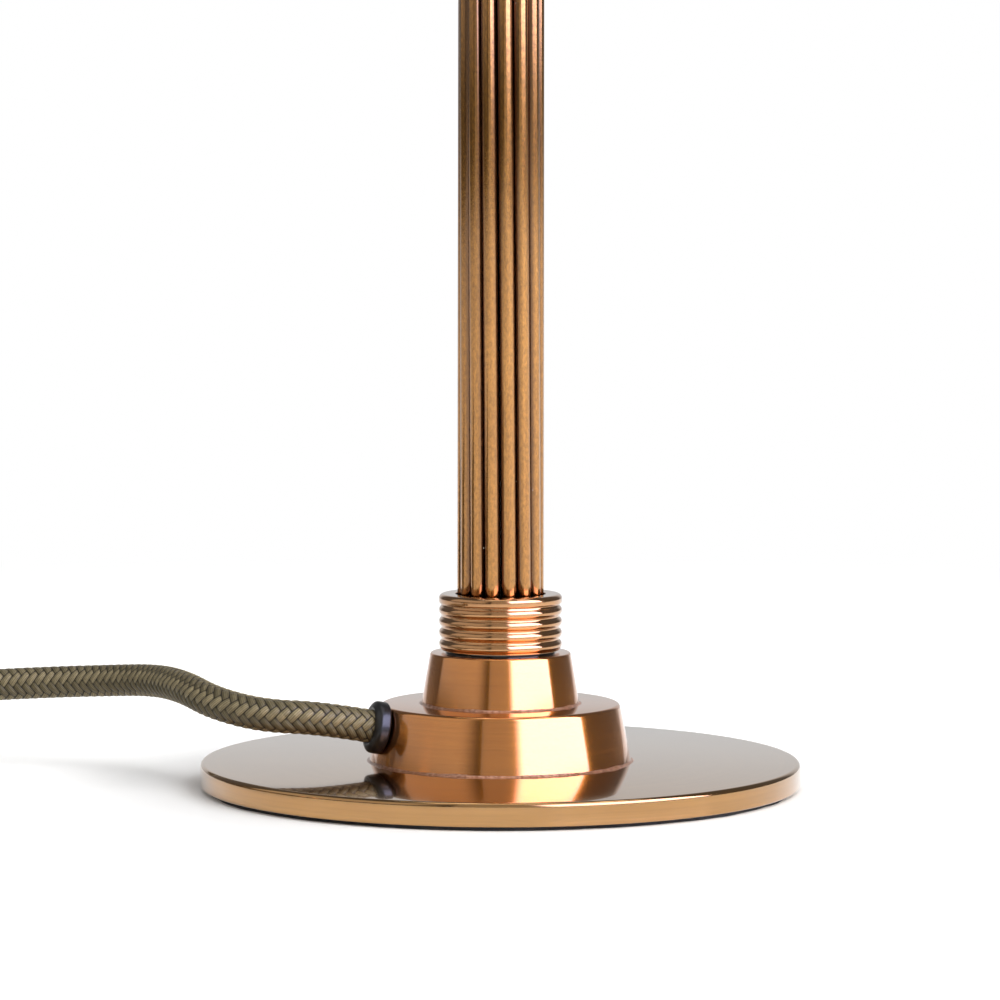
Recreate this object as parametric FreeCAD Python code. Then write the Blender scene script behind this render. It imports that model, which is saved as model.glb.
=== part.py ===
"""Column table lamp: stepped round base, a column of leaning brass rods, switched E27 lampholder,
tapered fabric shade, bulb, and a braided flex that leaves through a grommet and ends in a plug.

Millimetres, +Z up. The origin is on the column's axis at the underside of the base pad.
The front is -Y, and the flex leaves towards -X. Each piece is one STEP file in parts/.
"""

import FreeCAD
import Part
import math
import os

from FreeCAD import Placement, Rotation, Vector

# ---------------------------------------------------------------- base
PAD_R = 62.5
PAD_THICK = 0.8
PLATE_R = 63.8
PLATE_THICK = 4.9
PLATE_TOP_ROUND = 0.9
PLATE_FOOT_ROUND = 0.4
LOWER_FOOT_R = 27.9
LOWER_TOP_R = 25.4
LOWER_HEIGHT = 12.2
LOWER_SHOULDER = 0.9
LOWER_WALL = 5.4
LOWER_ROOF = 1.5
UPPER_FOOT_R = 16.8
UPPER_TOP_R = 14.9
UPPER_HEIGHT = 10.9
UPPER_SHOULDER = 0.5
UPPER_BORE_R = 11.5
UPPER_THREAD_DEPTH = 6.0
SEAM = 0.5
SEAM_WAIST = 0.18
SCREW_COUNT = 3
SCREW_R = 1.5
SCREW_HEAD_R = 3.0
SCREW_DEPTH = 7.0
SCREW_CLEARANCE = 0.05
SCREW_SLOT = 0.8
SCREW_SLOT_DEPTH = 0.7

# ---------------------------------------------------------------- column
COLLAR_GAP = 0.6
COLLAR_GAP_R = 11.8
COLLAR_RIB_R = 13.1
COLLAR_GROOVE_R = 12.6
COLLAR_GROOVE_LAND = 0.45
COLLAR_RIB_PITCH = 2.4
COLLAR_RIB_COUNT = 5
COLLAR_TOP_RIB = 2.3
COLLAR_TOP_ROUND = 1.0
COLLAR_FLOOR = 3.0
COLLAR_RELIEF = 0.35
COLLAR_RELIEF_DEPTH = 3.0
COLUMN_VISIBLE = 250.0
ROD_COUNT = 14
ROD_R = 1.65
ROD_GAP = 0.02
ROD_TWIST_PER_MM = -0.0635
ROD_FIRST_GAP_DEG = -89.3
ROD_SEAT = 0.05
ROD_END_GAP = 0.05
TUBE_R = 5.0
TUBE_BORE_R = 4.0
TUBE_IN_HOLDER = 8.5
THREAD_CLEARANCE = 0.05
BOSS_HEIGHT = 7.0
BOSS_FOOT_R = 13.0
BOSS_TOP_R = 9.6
BOSS_RIM = 2.2
BOSS_STEP = 0.7
BOSS_ROUND = 0.9
NUT_FLATS = 14.0
NUT_THICK = 3.0
NUT_POCKET = 0.4

# ---------------------------------------------------------------- lampholder
HOLDER_R = 20.5
HOLDER_WALL = 1.3
CAP_NECK_R = 9.0
CAP_NECK = 4.0
CAP_BOSS = 8.0
CAP_DOME = 12.0
CAP_STRAIGHT = 8.0
SKIRT_SPIGOT = 3.5
SPIGOT_CLEARANCE = 0.1
SKIRT_BELOW_FLANGE = 10.0
FLANGE_R = 23.5
FLANGE_THICK = 2.0
SHADE_THREAD_R = 19.8
SKIRT_WALL = 1.4
SKIRT_ABOVE_FLANGE = 18.0
INSERT_BELOW_SKIRT = 2.0
INSERT_CLEARANCE = 0.2
INSERT_TOP_DROP = 6.0
WELL_R = 14.1
WELL_DEPTH = 14.0
SHELL_WALL = 0.5
SHELL_STAND = 2.0
CONTACT_SLOT_HALF = 4.6
BAR_R = 2.2
BAR_CLEARANCE = 0.08
BAR_KNOB_R = 3.3
BAR_KNOB = 7.0
BAR_KNOB_DOME = 2.4
BAR_TRAVEL = 5.0
BAR_STOP_GAP = 0.3
BAR_ABOVE_CAP = 5.0
BRIDGE_R = 3.3
BRIDGE_LENGTH = 5.0
POCKET_HALF_X = 9.5
POCKET_HALF_Y = 4.4
TERMINAL_OFFSET = 9.0
TERMINAL_SIZE = 5.0
TERMINAL_HEIGHT = 6.5
TERMINAL_SCREW_R = 1.3
TERMINAL_SCREW = 1.1
EARTH_X = -7.2
EARTH_SCREW = 4.5
EARTH_HEAD_R = 2.2
EARTH_HEAD = 1.4
CORE_IN_TERMINAL = 1.5
CORE_RUN = 3.0
CORE_HUMP = 7.0
MOVING_GAP = 0.3

# ---------------------------------------------------------------- bulb
BULB_CAP_R = 13.2
BULB_CAP_SHELL = 19.5
BULB_TIP_R = 4.5
BULB_TIP = 1.6
BULB_INSULATOR = 3.4
BULB_R = 30.0
BULB_LENGTH = 105.0
BULB_NECK_R = 13.6
BULB_GLASS_WALL = 0.8
FILAMENT_R = 0.9
FILAMENT_COUNT = 4
FILAMENT_CIRCLE = 6.5
STEM_R = 3.2
STEM_FOOT = 8.0
STEM_BELOW_BALL = 14.0
FILAMENT_ABOVE_BALL = 14.0
BULB_COLLAR = 3.0

# ---------------------------------------------------------------- shade
SHADE_BOTTOM_R = 120.0
SHADE_TOP_R = 90.0
SHADE_HEIGHT = 170.0
SHADE_WALL = 1.0
SHADE_HEM = 8.0
SHADE_HEM_THICK = 0.6
SHADE_WIRE_R = 1.5
CARRIER_BORE_R = 20.9
CARRIER_R = 27.0
CARRIER_THICK = 1.5
CARRIER_RECESS = 12.0
CARRIER_GAP = 0.1
SPOKE_COUNT = 3
SPOKE_R = 1.5
SPOKE_FIRST_DEG = 90.0
SPOKE_BITE = 0.4
WIRE_BELOW_HEM = 1.0
WIRE_GAP = 0.1
RING_CLEARANCE = 0.1
RING_FLANGE_R = 26.5
RING_FLANGE = 1.7
RING_GRIP_R = 23.2
RING_HEIGHT = 5.5
RING_NOTCHES = 24
RING_NOTCH_R = 0.9

# ---------------------------------------------------------------- grommet, flex and cord grip
FLEX_R = 3.0
CORD_R = 3.5
GROMMET_Z = 13.5
GROMMET_AZIMUTH = 199.0
GROMMET_FLANGE_R = 5.55
GROMMET_FLANGE = 3.0
GROMMET_NECK_R = 3.9
GROMMET_LIP = 1.0
GROMMET_LIP_R = 4.4
GROMMET_SOCKET = 1.6
GROMMET_SHOULDER = 0.78
GROMMET_MOUTH = 0.55
CORD_FIT = 0.05
FLEX_BEND_R = 12.0
GRIP_AT = 18.0
GRIP_LENGTH = 4.0
GRIP_WIDTH = 14.0
GRIP_ROOF_GAP = 0.4
GRIP_SCREW_OFFSET = 5.1
GRIP_SCREW_R = 1.0
GRIP_SCREW_HEAD_R = 1.8
GRIP_SCREW_BITE = 2.5
CORE_R = 1.1
CORE_CIRCLE = 1.7

# The free flex, from a straight start out of the grommet to a straight run into the coil:
# chosen points, in the order of the cord.
LEAD_EXIT_RUN = 12.0
LEAD_ROUTE = [
    (-49.8, -11.8, 17.0),
    (-60.6, -5.3, 17.4),
    (-67.6, 6.2, 17.7),
    (-75.0, 20.6, 18.2),
    (-86.0, 31.2, 18.4),
    (-99.6, 37.2, 17.8),
    (-114.0, 39.9, 16.8),
    (-129.0, 40.3, 15.3),
    (-143.0, 40.2, 13.2),
]
LEAD_ENTRY_RUN = 11.0

# ---------------------------------------------------------------- coil
COIL_X = -168.0
COIL_INNER_R = 28.0
COIL_PITCH = 7.5
COIL_LAYER = 7.5
COIL_TURNS_IN = 3.0
COIL_TURNS_OUT = 3.25
COIL_START_DEG = 90.0
COIL_STRAIGHT = 7.0
TIE_AZIMUTH = -60.0
TIE_WIDTH = 12.0
TIE_THICK = 0.6
TIE_CLEARANCE = 0.3
COIL_ABOVE_TIE = 0.1

# The flex from the coil's straight end to the plug, as steps from that end.
TAIL_EXIT_RUN = 9.0
TAIL_ROUTE = [
    (2.4, -22.0, 1.7),
    (4.6, -33.0, 4.6),
]
PLUG_RUN = 11.0
PLUG_STEP = (5.0, -54.0)

# ---------------------------------------------------------------- plug
PLUG_WIDTH = 50.0
PLUG_HEIGHT = 49.0
PLUG_COVER = 10.0
PLUG_BODY = 10.0
PLUG_CORNER = 9.0
PLUG_NOSE = 24.0
PLUG_NOSE_CORNER = 7.0
PLUG_SHOULDER = 0.62
PLUG_EDGE_ROUND = 2.0
PLUG_JOINT = 0.2
PLUG_CORD_DEPTH = 6.0
EARTH_PIN = (4.0, 8.0, 22.7)
LINE_PIN = (6.35, 4.0, 17.7)
PIN_ROW = 22.2
PIN_SPACING = 22.2
LINE_PIN_IN = 15.5
PIN_SEAT = 4.0
PLUG_SCREW_IN = 25.0
FUSE_IN = 12.0
PLUG_SCREW_R = 1.75
PLUG_SCREW_HEAD_R = 3.4
PLUG_SCREW_HEAD = 2.0
PLUG_SLOT = 1.0
PLUG_SLOT_DEPTH = 0.9
PIN_CHAMFER = 1.0
FUSE_R = 3.15
FUSE_LENGTH = 25.4

# ---------------------------------------------------------------- heights that follow from the sizes
Z_AXIS = Vector(0, 0, 1)
PLATE_Z = PAD_THICK
LOWER_Z = PLATE_Z + PLATE_THICK
UPPER_Z = LOWER_Z + LOWER_HEIGHT
UPPER_TOP_Z = UPPER_Z + UPPER_HEIGHT
COLLAR_Z = UPPER_TOP_Z + COLLAR_GAP
COLLAR_HEIGHT = (COLLAR_RIB_COUNT - 1) * COLLAR_RIB_PITCH + COLLAR_TOP_RIB
COLLAR_TOP_Z = COLLAR_Z + COLLAR_HEIGHT
TOP_COLLAR_Z = COLLAR_TOP_Z + COLUMN_VISIBLE
TOP_COLLAR_TOP_Z = TOP_COLLAR_Z + COLLAR_HEIGHT
BOSS_Z = TOP_COLLAR_TOP_Z + COLLAR_GAP
HOLDER_Z = BOSS_Z + BOSS_HEIGHT
ROD_FOOT_Z = COLLAR_Z + COLLAR_FLOOR
ROD_TOP_Z = TOP_COLLAR_TOP_Z - COLLAR_FLOOR
TUBE_FOOT_Z = UPPER_TOP_Z - UPPER_THREAD_DEPTH
CAP_TOP_Z = HOLDER_Z + CAP_NECK + CAP_DOME + CAP_STRAIGHT
SHADE_SEAT_Z = CAP_TOP_Z + SKIRT_BELOW_FLANGE + FLANGE_THICK
SKIRT_TOP_Z = SHADE_SEAT_Z + SKIRT_ABOVE_FLANGE
INSERT_Z = CAP_TOP_Z - INSERT_BELOW_SKIRT
INSERT_TOP_Z = SKIRT_TOP_Z - INSERT_TOP_DROP
WELL_Z = INSERT_TOP_Z - WELL_DEPTH
BAR_Z = CAP_TOP_Z + BAR_ABOVE_CAP
BULB_Z = WELL_Z + SHELL_STAND + MOVING_GAP
SHADE_Z = SHADE_SEAT_Z + CARRIER_GAP - CARRIER_RECESS
CARRIER_Z = SHADE_SEAT_Z + CARRIER_GAP
RING_Z = CARRIER_Z + CARRIER_THICK + CARRIER_GAP
LOWER_BORE_R = LOWER_FOOT_R - LOWER_WALL
SCREW_CIRCLE_R = LOWER_FOOT_R - LOWER_WALL / 2
HOLDER_BORE_R = HOLDER_R - HOLDER_WALL
SPIGOT_R = HOLDER_BORE_R - SPIGOT_CLEARANCE
SKIRT_BORE_R = SHADE_THREAD_R - SKIRT_WALL
COIL_START_R = COIL_INNER_R + COIL_TURNS_IN * COIL_PITCH
COIL_END_R = COIL_INNER_R + COIL_TURNS_OUT * COIL_PITCH
COIL_LOW_Z = TIE_THICK + COIL_ABOVE_TIE + CORD_R
COIL_HIGH_Z = COIL_LOW_Z + COIL_LAYER
COIL_Y = LEAD_ROUTE[-1][1] - COIL_START_R
PLUG_CORD_Z = PLUG_COVER + PLUG_JOINT / 2

solids_by_node = {}


# ---------------------------------------------------------------- drawing helpers
def keep(node, *shapes):
    """Store the solids of one node."""
    solids = [solid for shape in shapes for solid in shape.Solids]
    solids_by_node[node] = solids[0] if len(solids) == 1 else Part.makeCompound(solids)


def corner_arc(before, corner, after, radius):
    """First point, middle and last point of the arc that rounds a corner."""
    back = (before - corner).normalize()
    ahead = (after - corner).normalize()
    half = back.getAngle(ahead) / 2
    bisector = (back + ahead).normalize()
    centre = corner + bisector * (radius / math.sin(half))
    reach = radius / math.tan(half)
    return corner + back * reach, centre - bisector * radius, corner + ahead * reach


def outline(path):
    """Closed wire in the XZ plane. An entry is (r, z), (r, z, rounding) or ((rm, zm), (r, z)),
    which is an arc through (rm, zm) that ends at (r, z)."""
    ends = []
    middles = []
    rounds = []
    for entry in path:
        is_arc = isinstance(entry[0], tuple)
        end = entry[1] if is_arc else entry
        ends.append(Vector(end[0], 0, end[1]))
        middles.append(Vector(entry[0][0], 0, entry[0][1]) if is_arc else None)
        rounds.append(end[2] if len(end) > 2 else 0)
    count = len(ends)
    corners = []
    for i, corner in enumerate(ends):
        if rounds[i] > 0:
            corners.append(corner_arc(ends[i - 1], corner, ends[(i + 1) % count], rounds[i]))
        else:
            corners.append((corner, None, corner))
    edges = []
    for i in range(count):
        start = corners[i - 1][2]
        stop = corners[i][0]
        if middles[i] is not None:
            edges.append(Part.Arc(start, middles[i], stop).toShape())
        elif start.distanceToPoint(stop) > 1e-6:
            edges.append(Part.LineSegment(start, stop).toShape())
        if corners[i][1] is not None:
            edges.append(Part.Arc(*corners[i]).toShape())
    return Part.Wire(edges)


def turned(path):
    """Solid of revolution about Z from an outline of (r, z) entries."""
    return Part.Face(outline(path)).revolve(Vector(), Z_AXIS, 360)


def rod(radius, start, end):
    """Round bar between two points."""
    axis = end - start
    return Part.makeCylinder(radius, axis.Length, start, axis)


def box(size, centre_xy, low_z):
    """Upright box centred on a point of the plane."""
    corner = Vector(centre_xy[0] - size[0] / 2, centre_xy[1] - size[1] / 2, low_z)
    return Part.makeBox(size[0], size[1], size[2], corner)


def around(shape, degrees):
    """Copy of a shape turned about the column's axis."""
    copy = shape.copy()
    copy.rotate(Vector(), Z_AXIS, degrees)
    return copy


def polar(radius, degrees, z):
    """Point at a radius and an azimuth."""
    angle = math.radians(degrees)
    return Vector(radius * math.cos(angle), radius * math.sin(angle), z)


def hexagon(flats, thick, low_z):
    """Hexagonal prism on the axis, by its width across flats."""
    corners = [polar(flats / math.sqrt(3), 60 * i, low_z) for i in range(7)]
    return Part.Face(Part.makePolygon(corners)).extrude(Vector(0, 0, thick))


def tube_edges(points, name):
    """Straight runs joined by tangent arcs, each as large as its two runs allow."""
    edges = []
    radii = []
    last = points[0]
    for i in range(1, len(points) - 1):
        back = points[i - 1] - points[i]
        ahead = points[i + 1] - points[i]
        turn = math.pi - back.getAngle(ahead)
        radius = 0.45 * min(back.Length, ahead.Length) / math.tan(turn / 2)
        first, middle, end = corner_arc(points[i - 1], points[i], points[i + 1], radius)
        edges.append(Part.LineSegment(last, first).toShape())
        edges.append(Part.Arc(first, middle, end).toShape())
        radii.append(radius)
        last = end
    edges.append(Part.LineSegment(last, points[-1]).toShape())
    print(name, "bend radii", [round(radius, 1) for radius in radii])
    return edges


def swept(edges, radius, name):
    """Round tube along a chain of tangent edges, with its volume compared with section x length."""
    path = Part.Wire(edges)
    start = path.OrderedEdges[0]
    section = Part.Wire(Part.makeCircle(radius, start.valueAt(start.FirstParameter),
                                        start.tangentAt(start.FirstParameter)))
    tube = path.makePipeShell([section], True, False)
    expected = math.pi * radius**2 * path.Length
    print(name, "length %.1f" % path.Length, "volume/expected %.4f" % (tube.Volume / expected))
    return tube


# ---------------------------------------------------------------- base
def lower_wall_r(z):
    """Outer radius of the lower tier at a height."""
    return LOWER_FOOT_R + (LOWER_TOP_R - LOWER_FOOT_R) * (z - LOWER_Z) / LOWER_HEIGHT


WALL_SLOPE = math.atan2(LOWER_FOOT_R - LOWER_TOP_R, LOWER_HEIGHT)
GROMMET_AXIS = (polar(math.cos(WALL_SLOPE), GROMMET_AZIMUTH, math.sin(WALL_SLOPE))).normalize()
GROMMET_FACE = polar(lower_wall_r(GROMMET_Z), GROMMET_AZIMUTH, GROMMET_Z)
CORD_START = GROMMET_FACE + GROMMET_AXIS * (GROMMET_FLANGE - GROMMET_SOCKET)
GROMMET_REACH = (lower_wall_r(GROMMET_Z) - LOWER_BORE_R) / math.cos(WALL_SLOPE)
TURN_TO_GROMMET = Rotation(Z_AXIS, GROMMET_AXIS)


def at_grommet(shape, inward=0.0):
    """Place a shape that is drawn along +Z on the grommet's axis, its zero on the wall's face."""
    placed = shape.copy()
    placed.Placement = Placement(GROMMET_FACE - GROMMET_AXIS * inward, TURN_TO_GROMMET)
    return placed


def base_pieces():
    """Pad, plate with its countersunk screws, both tiers and the solder lines."""
    keep("base_pad", Part.makeCylinder(PAD_R, PAD_THICK))
    plate = turned([
        (0, PLATE_Z),
        (PLATE_R, PLATE_Z, PLATE_FOOT_ROUND),
        (PLATE_R, LOWER_Z, PLATE_TOP_ROUND),
        (0, LOWER_Z),
    ])
    head = SCREW_HEAD_R - SCREW_R
    for i in range(SCREW_COUNT):
        at = polar(SCREW_CIRCLE_R, 360 * i / SCREW_COUNT + 30, PLATE_Z)
        sink = Part.makeCone(SCREW_HEAD_R + SCREW_CLEARANCE, SCREW_R + SCREW_CLEARANCE, head, at)
        hole = Part.makeCylinder(SCREW_R + SCREW_CLEARANCE, PLATE_THICK, at)
        plate = plate.cut(sink.fuse(hole))
    for side in (-1, 1):
        grip_hole = grip_screw_axis(side, LOWER_Z - GRIP_SCREW_BITE - SCREW_CLEARANCE)
        plate = plate.cut(Part.makeCylinder(GRIP_SCREW_R + SCREW_CLEARANCE, PLATE_THICK, grip_hole))
    keep("base_plate", plate)

    lower = turned([
        (LOWER_BORE_R, LOWER_Z),
        (LOWER_FOOT_R, LOWER_Z),
        (LOWER_TOP_R, UPPER_Z, LOWER_SHOULDER),
        (UPPER_BORE_R, UPPER_Z),
        (UPPER_BORE_R, UPPER_Z - LOWER_ROOF),
        (LOWER_BORE_R, UPPER_Z - LOWER_ROOF),
    ])
    screws = []
    for i in range(SCREW_COUNT):
        at = polar(SCREW_CIRCLE_R, 360 * i / SCREW_COUNT + 30, PLATE_Z)
        into = at + Vector(0, 0, PLATE_THICK)
        bore = Part.makeCylinder(SCREW_R + SCREW_CLEARANCE, SCREW_DEPTH + SCREW_CLEARANCE, into)
        lower = lower.cut(bore)
        screw = Part.makeCone(SCREW_HEAD_R, SCREW_R, head, at)
        screw = screw.fuse(Part.makeCylinder(SCREW_R, PLATE_THICK + SCREW_DEPTH, at))
        slot = box((2 * SCREW_HEAD_R, SCREW_SLOT, SCREW_SLOT_DEPTH), (at.x, at.y), at.z)
        screws.append(screw.removeSplitter().cut(slot))
    neck_hole = Part.makeCylinder(GROMMET_NECK_R + CORD_FIT, 3 * GROMMET_REACH)
    lower = lower.cut(at_grommet(neck_hole, 2 * GROMMET_REACH))
    lip_room = Part.makeCylinder(GROMMET_LIP_R + CORD_FIT, 2 * GROMMET_LIP + GROMMET_REACH)
    lower = lower.cut(at_grommet(lip_room, GROMMET_REACH * 2 + 2 * GROMMET_LIP - CORD_FIT))
    keep("lower_tier", lower)
    keep("base_screws", *screws)

    keep("upper_tier", turned([
        (UPPER_BORE_R, UPPER_Z),
        (UPPER_FOOT_R, UPPER_Z),
        (UPPER_TOP_R, UPPER_TOP_Z, UPPER_SHOULDER),
        (TUBE_R + THREAD_CLEARANCE, UPPER_TOP_Z),
        (TUBE_R + THREAD_CLEARANCE, TUBE_FOOT_Z),
        (UPPER_BORE_R, TUBE_FOOT_Z, 0.8),
    ]))
    seams = []
    for foot_r, foot_z, top_r, height in (
        (LOWER_FOOT_R, LOWER_Z, LOWER_TOP_R, LOWER_HEIGHT),
        (UPPER_FOOT_R, UPPER_Z, UPPER_TOP_R, UPPER_HEIGHT),
    ):
        lean = SEAM * (foot_r - top_r) / height
        seams.append(turned([
            (foot_r, foot_z),
            (foot_r + SEAM, foot_z),
            (foot_r + SEAM_WAIST, foot_z + SEAM_WAIST),
            (foot_r - lean, foot_z + SEAM),
        ]))
    keep("solder_seams", *seams)


# ---------------------------------------------------------------- grommet, inner flex and cord grip
def grip_screw_axis(side, z):
    """Place of a cord grip screw, one each side of the flex."""
    out = polar(GRIP_AT, GROMMET_AZIMUTH, 0)
    across = polar(GRIP_SCREW_OFFSET * side, GROMMET_AZIMUTH + 90, 0)
    return Vector(out.x + across.x, out.y + across.y, z)


def grommet():
    """Rubber bush with a rounded outer flange, a neck through the wall and an inner lip."""
    bush = turned([
        (FLEX_R + CORD_FIT, -GROMMET_REACH - GROMMET_LIP),
        (GROMMET_LIP_R, -GROMMET_REACH - GROMMET_LIP, 0.4),
        (GROMMET_LIP_R, -GROMMET_REACH),
        (GROMMET_NECK_R, -GROMMET_REACH),
        (GROMMET_NECK_R, 0),
        (GROMMET_FLANGE_R, 0, 0.4),
        (GROMMET_FLANGE_R, GROMMET_FLANGE * GROMMET_SHOULDER, 0.9),
        (CORD_R + CORD_FIT + GROMMET_MOUTH, GROMMET_FLANGE, 0.25),
        (CORD_R + CORD_FIT, GROMMET_FLANGE),
        (CORD_R + CORD_FIT, GROMMET_FLANGE - GROMMET_SOCKET),
        (FLEX_R + CORD_FIT, GROMMET_FLANGE - GROMMET_SOCKET),
    ])
    keep("cable_grommet", at_grommet(bush))


def inner_flex():
    """The flex inside the lamp: in through the grommet, round to the axis and up the core tube."""
    axis_z = GROMMET_FACE.z - lower_wall_r(GROMMET_Z) * math.tan(WALL_SLOPE)
    corner = Vector(0, 0, axis_z)
    top = Vector(0, 0, HOLDER_Z + CAP_BOSS + 1.0)
    first, middle, last = corner_arc(CORD_START, corner, top, FLEX_BEND_R)
    edges = [
        Part.LineSegment(CORD_START, first).toShape(),
        Part.Arc(first, middle, last).toShape(),
        Part.LineSegment(last, top).toShape(),
    ]
    keep("inner_flex", swept(edges, FLEX_R, "inner_flex"))


def cord_grip():
    """Two-part saddle on the plate that holds the flex, with its two screws."""
    roof = UPPER_Z - LOWER_ROOF - GRIP_ROOF_GAP
    block = box((GRIP_LENGTH, GRIP_WIDTH, roof - LOWER_Z), (GRIP_AT, 0), LOWER_Z)
    block = around(block, GROMMET_AZIMUTH)
    way = at_grommet(Part.makeCylinder(FLEX_R + CORD_FIT, 4 * GROMMET_REACH), 4 * GROMMET_REACH)
    block = block.cut(way)
    split_z = GROMMET_Z - (lower_wall_r(GROMMET_Z) - GRIP_AT) * math.tan(WALL_SLOPE)
    screws = []
    head = GRIP_SCREW_HEAD_R - GRIP_SCREW_R
    for side in (-1, 1):
        foot = grip_screw_axis(side, LOWER_Z - GRIP_SCREW_BITE)
        length = roof - foot.z
        block = block.cut(Part.makeCylinder(GRIP_SCREW_R + SCREW_CLEARANCE, length, foot))
        sink = grip_screw_axis(side, roof - head)
        block = block.cut(Part.makeCone(GRIP_SCREW_R + SCREW_CLEARANCE,
                                        GRIP_SCREW_HEAD_R + SCREW_CLEARANCE, head, sink))
        screw = Part.makeCylinder(GRIP_SCREW_R, length, foot)
        screw = screw.fuse(Part.makeCone(GRIP_SCREW_R, GRIP_SCREW_HEAD_R, head, sink))
        screws.append(screw.removeSplitter())
    lower_half = Part.makeBox(2 * PLATE_R, 2 * PLATE_R, split_z, Vector(-PLATE_R, -PLATE_R, 0))
    keep("cord_grip_base", block.common(lower_half))
    keep("cord_grip_strap", block.cut(lower_half))
    keep("cord_grip_screws", *screws)


# ---------------------------------------------------------------- column
def rod_circle_r():
    """Radius on which the rods stand, so that leaning neighbours just clear at the waist."""
    length = ROD_TOP_Z - ROD_FOOT_Z
    half_twist = math.radians(abs(ROD_TWIST_PER_MM) * length / 2)
    spacing = 2 * ROD_R + ROD_GAP
    return spacing / (2 * math.sin(math.pi / ROD_COUNT) * math.cos(half_twist))


def collar_profile():
    """Outline of a collar that stands on z = 0, with its cup upwards."""
    seat_r = rod_circle_r() + ROD_R + ROD_SEAT
    cup_r = seat_r + COLLAR_RELIEF
    land = COLLAR_GROOVE_LAND / 2
    path = [(TUBE_R + THREAD_CLEARANCE, 0), (COLLAR_GROOVE_R, 0)]
    for i in range(COLLAR_RIB_COUNT - 1):
        low = i * COLLAR_RIB_PITCH + land
        high = (i + 1) * COLLAR_RIB_PITCH - land
        path.append((COLLAR_GROOVE_R, low))
        path.append(((COLLAR_RIB_R, (low + high) / 2), (COLLAR_GROOVE_R, high)))
    low = (COLLAR_RIB_COUNT - 1) * COLLAR_RIB_PITCH + land
    path += [
        (COLLAR_GROOVE_R, low),
        (COLLAR_RIB_R, low, (COLLAR_RIB_R - COLLAR_GROOVE_R) * 0.9),
        (COLLAR_RIB_R, COLLAR_HEIGHT, COLLAR_TOP_ROUND),
        (cup_r, COLLAR_HEIGHT, 0.2),
        (cup_r, COLLAR_HEIGHT - COLLAR_RELIEF_DEPTH),
        (seat_r, COLLAR_HEIGHT - COLLAR_RELIEF_DEPTH),
        (seat_r, COLLAR_FLOOR),
        (TUBE_R + THREAD_CLEARANCE, COLLAR_FLOOR),
    ]
    return path


def column_pieces():
    """Both collars, the leaning rods, the core tube and what clamps them at the top."""
    collar = turned(collar_profile())
    spigot = Part.makeCylinder(COLLAR_GAP_R, COLLAR_GAP, Vector(0, 0, -COLLAR_GAP))
    spigot = spigot.cut(Part.makeCylinder(TUBE_R + THREAD_CLEARANCE, COLLAR_GAP,
                                          Vector(0, 0, -COLLAR_GAP)))
    collar = collar.fuse(spigot).removeSplitter()
    lower = collar.copy()
    lower.translate(Vector(0, 0, COLLAR_Z))
    keep("lower_collar", lower)
    upper = collar.copy()
    upper.rotate(Vector(), Vector(1, 0, 0), 180)
    upper.translate(Vector(0, 0, TOP_COLLAR_TOP_Z))
    keep("top_collar", upper)

    circle_r = rod_circle_r()
    foot_z = ROD_FOOT_Z + ROD_END_GAP
    top_z = ROD_TOP_Z - ROD_END_GAP
    for i in range(ROD_COUNT):
        at_collar = ROD_FIRST_GAP_DEG + (i + 0.5) * 360 / ROD_COUNT
        foot_deg = at_collar + ROD_TWIST_PER_MM * (foot_z - COLLAR_TOP_Z)
        top_deg = at_collar + ROD_TWIST_PER_MM * (top_z - COLLAR_TOP_Z)
        foot = polar(circle_r, foot_deg, foot_z)
        top = polar(circle_r, top_deg, top_z)
        keep("column_rod_%02d" % (i + 1), rod(ROD_R, foot, top))

    tube_top = HOLDER_Z + TUBE_IN_HOLDER
    tube = Part.makeCylinder(TUBE_R, tube_top - TUBE_FOOT_Z, Vector(0, 0, TUBE_FOOT_Z))
    tube = tube.cut(Part.makeCylinder(TUBE_BORE_R, tube_top - TUBE_FOOT_Z,
                                      Vector(0, 0, TUBE_FOOT_Z)))
    keep("core_tube", tube)
    pocket_r = NUT_FLATS / math.sqrt(3) + NUT_POCKET
    keep("top_boss", turned([
        (TUBE_R + THREAD_CLEARANCE, BOSS_Z),
        (BOSS_FOOT_R, BOSS_Z, 0.8),
        (BOSS_FOOT_R, BOSS_Z + BOSS_RIM, BOSS_ROUND),
        (BOSS_TOP_R + 0.6, BOSS_Z + BOSS_RIM + BOSS_STEP, BOSS_ROUND),
        (BOSS_TOP_R, HOLDER_Z, 0.4),
        (pocket_r, HOLDER_Z),
        (pocket_r, HOLDER_Z - NUT_THICK),
        (TUBE_R + THREAD_CLEARANCE, HOLDER_Z - NUT_THICK),
    ]))
    nut = hexagon(NUT_FLATS, NUT_THICK, HOLDER_Z - NUT_THICK)
    keep("lock_nut", nut.cut(Part.makeCylinder(TUBE_R + THREAD_CLEARANCE, NUT_THICK,
                                               Vector(0, 0, HOLDER_Z - NUT_THICK))))


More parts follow.
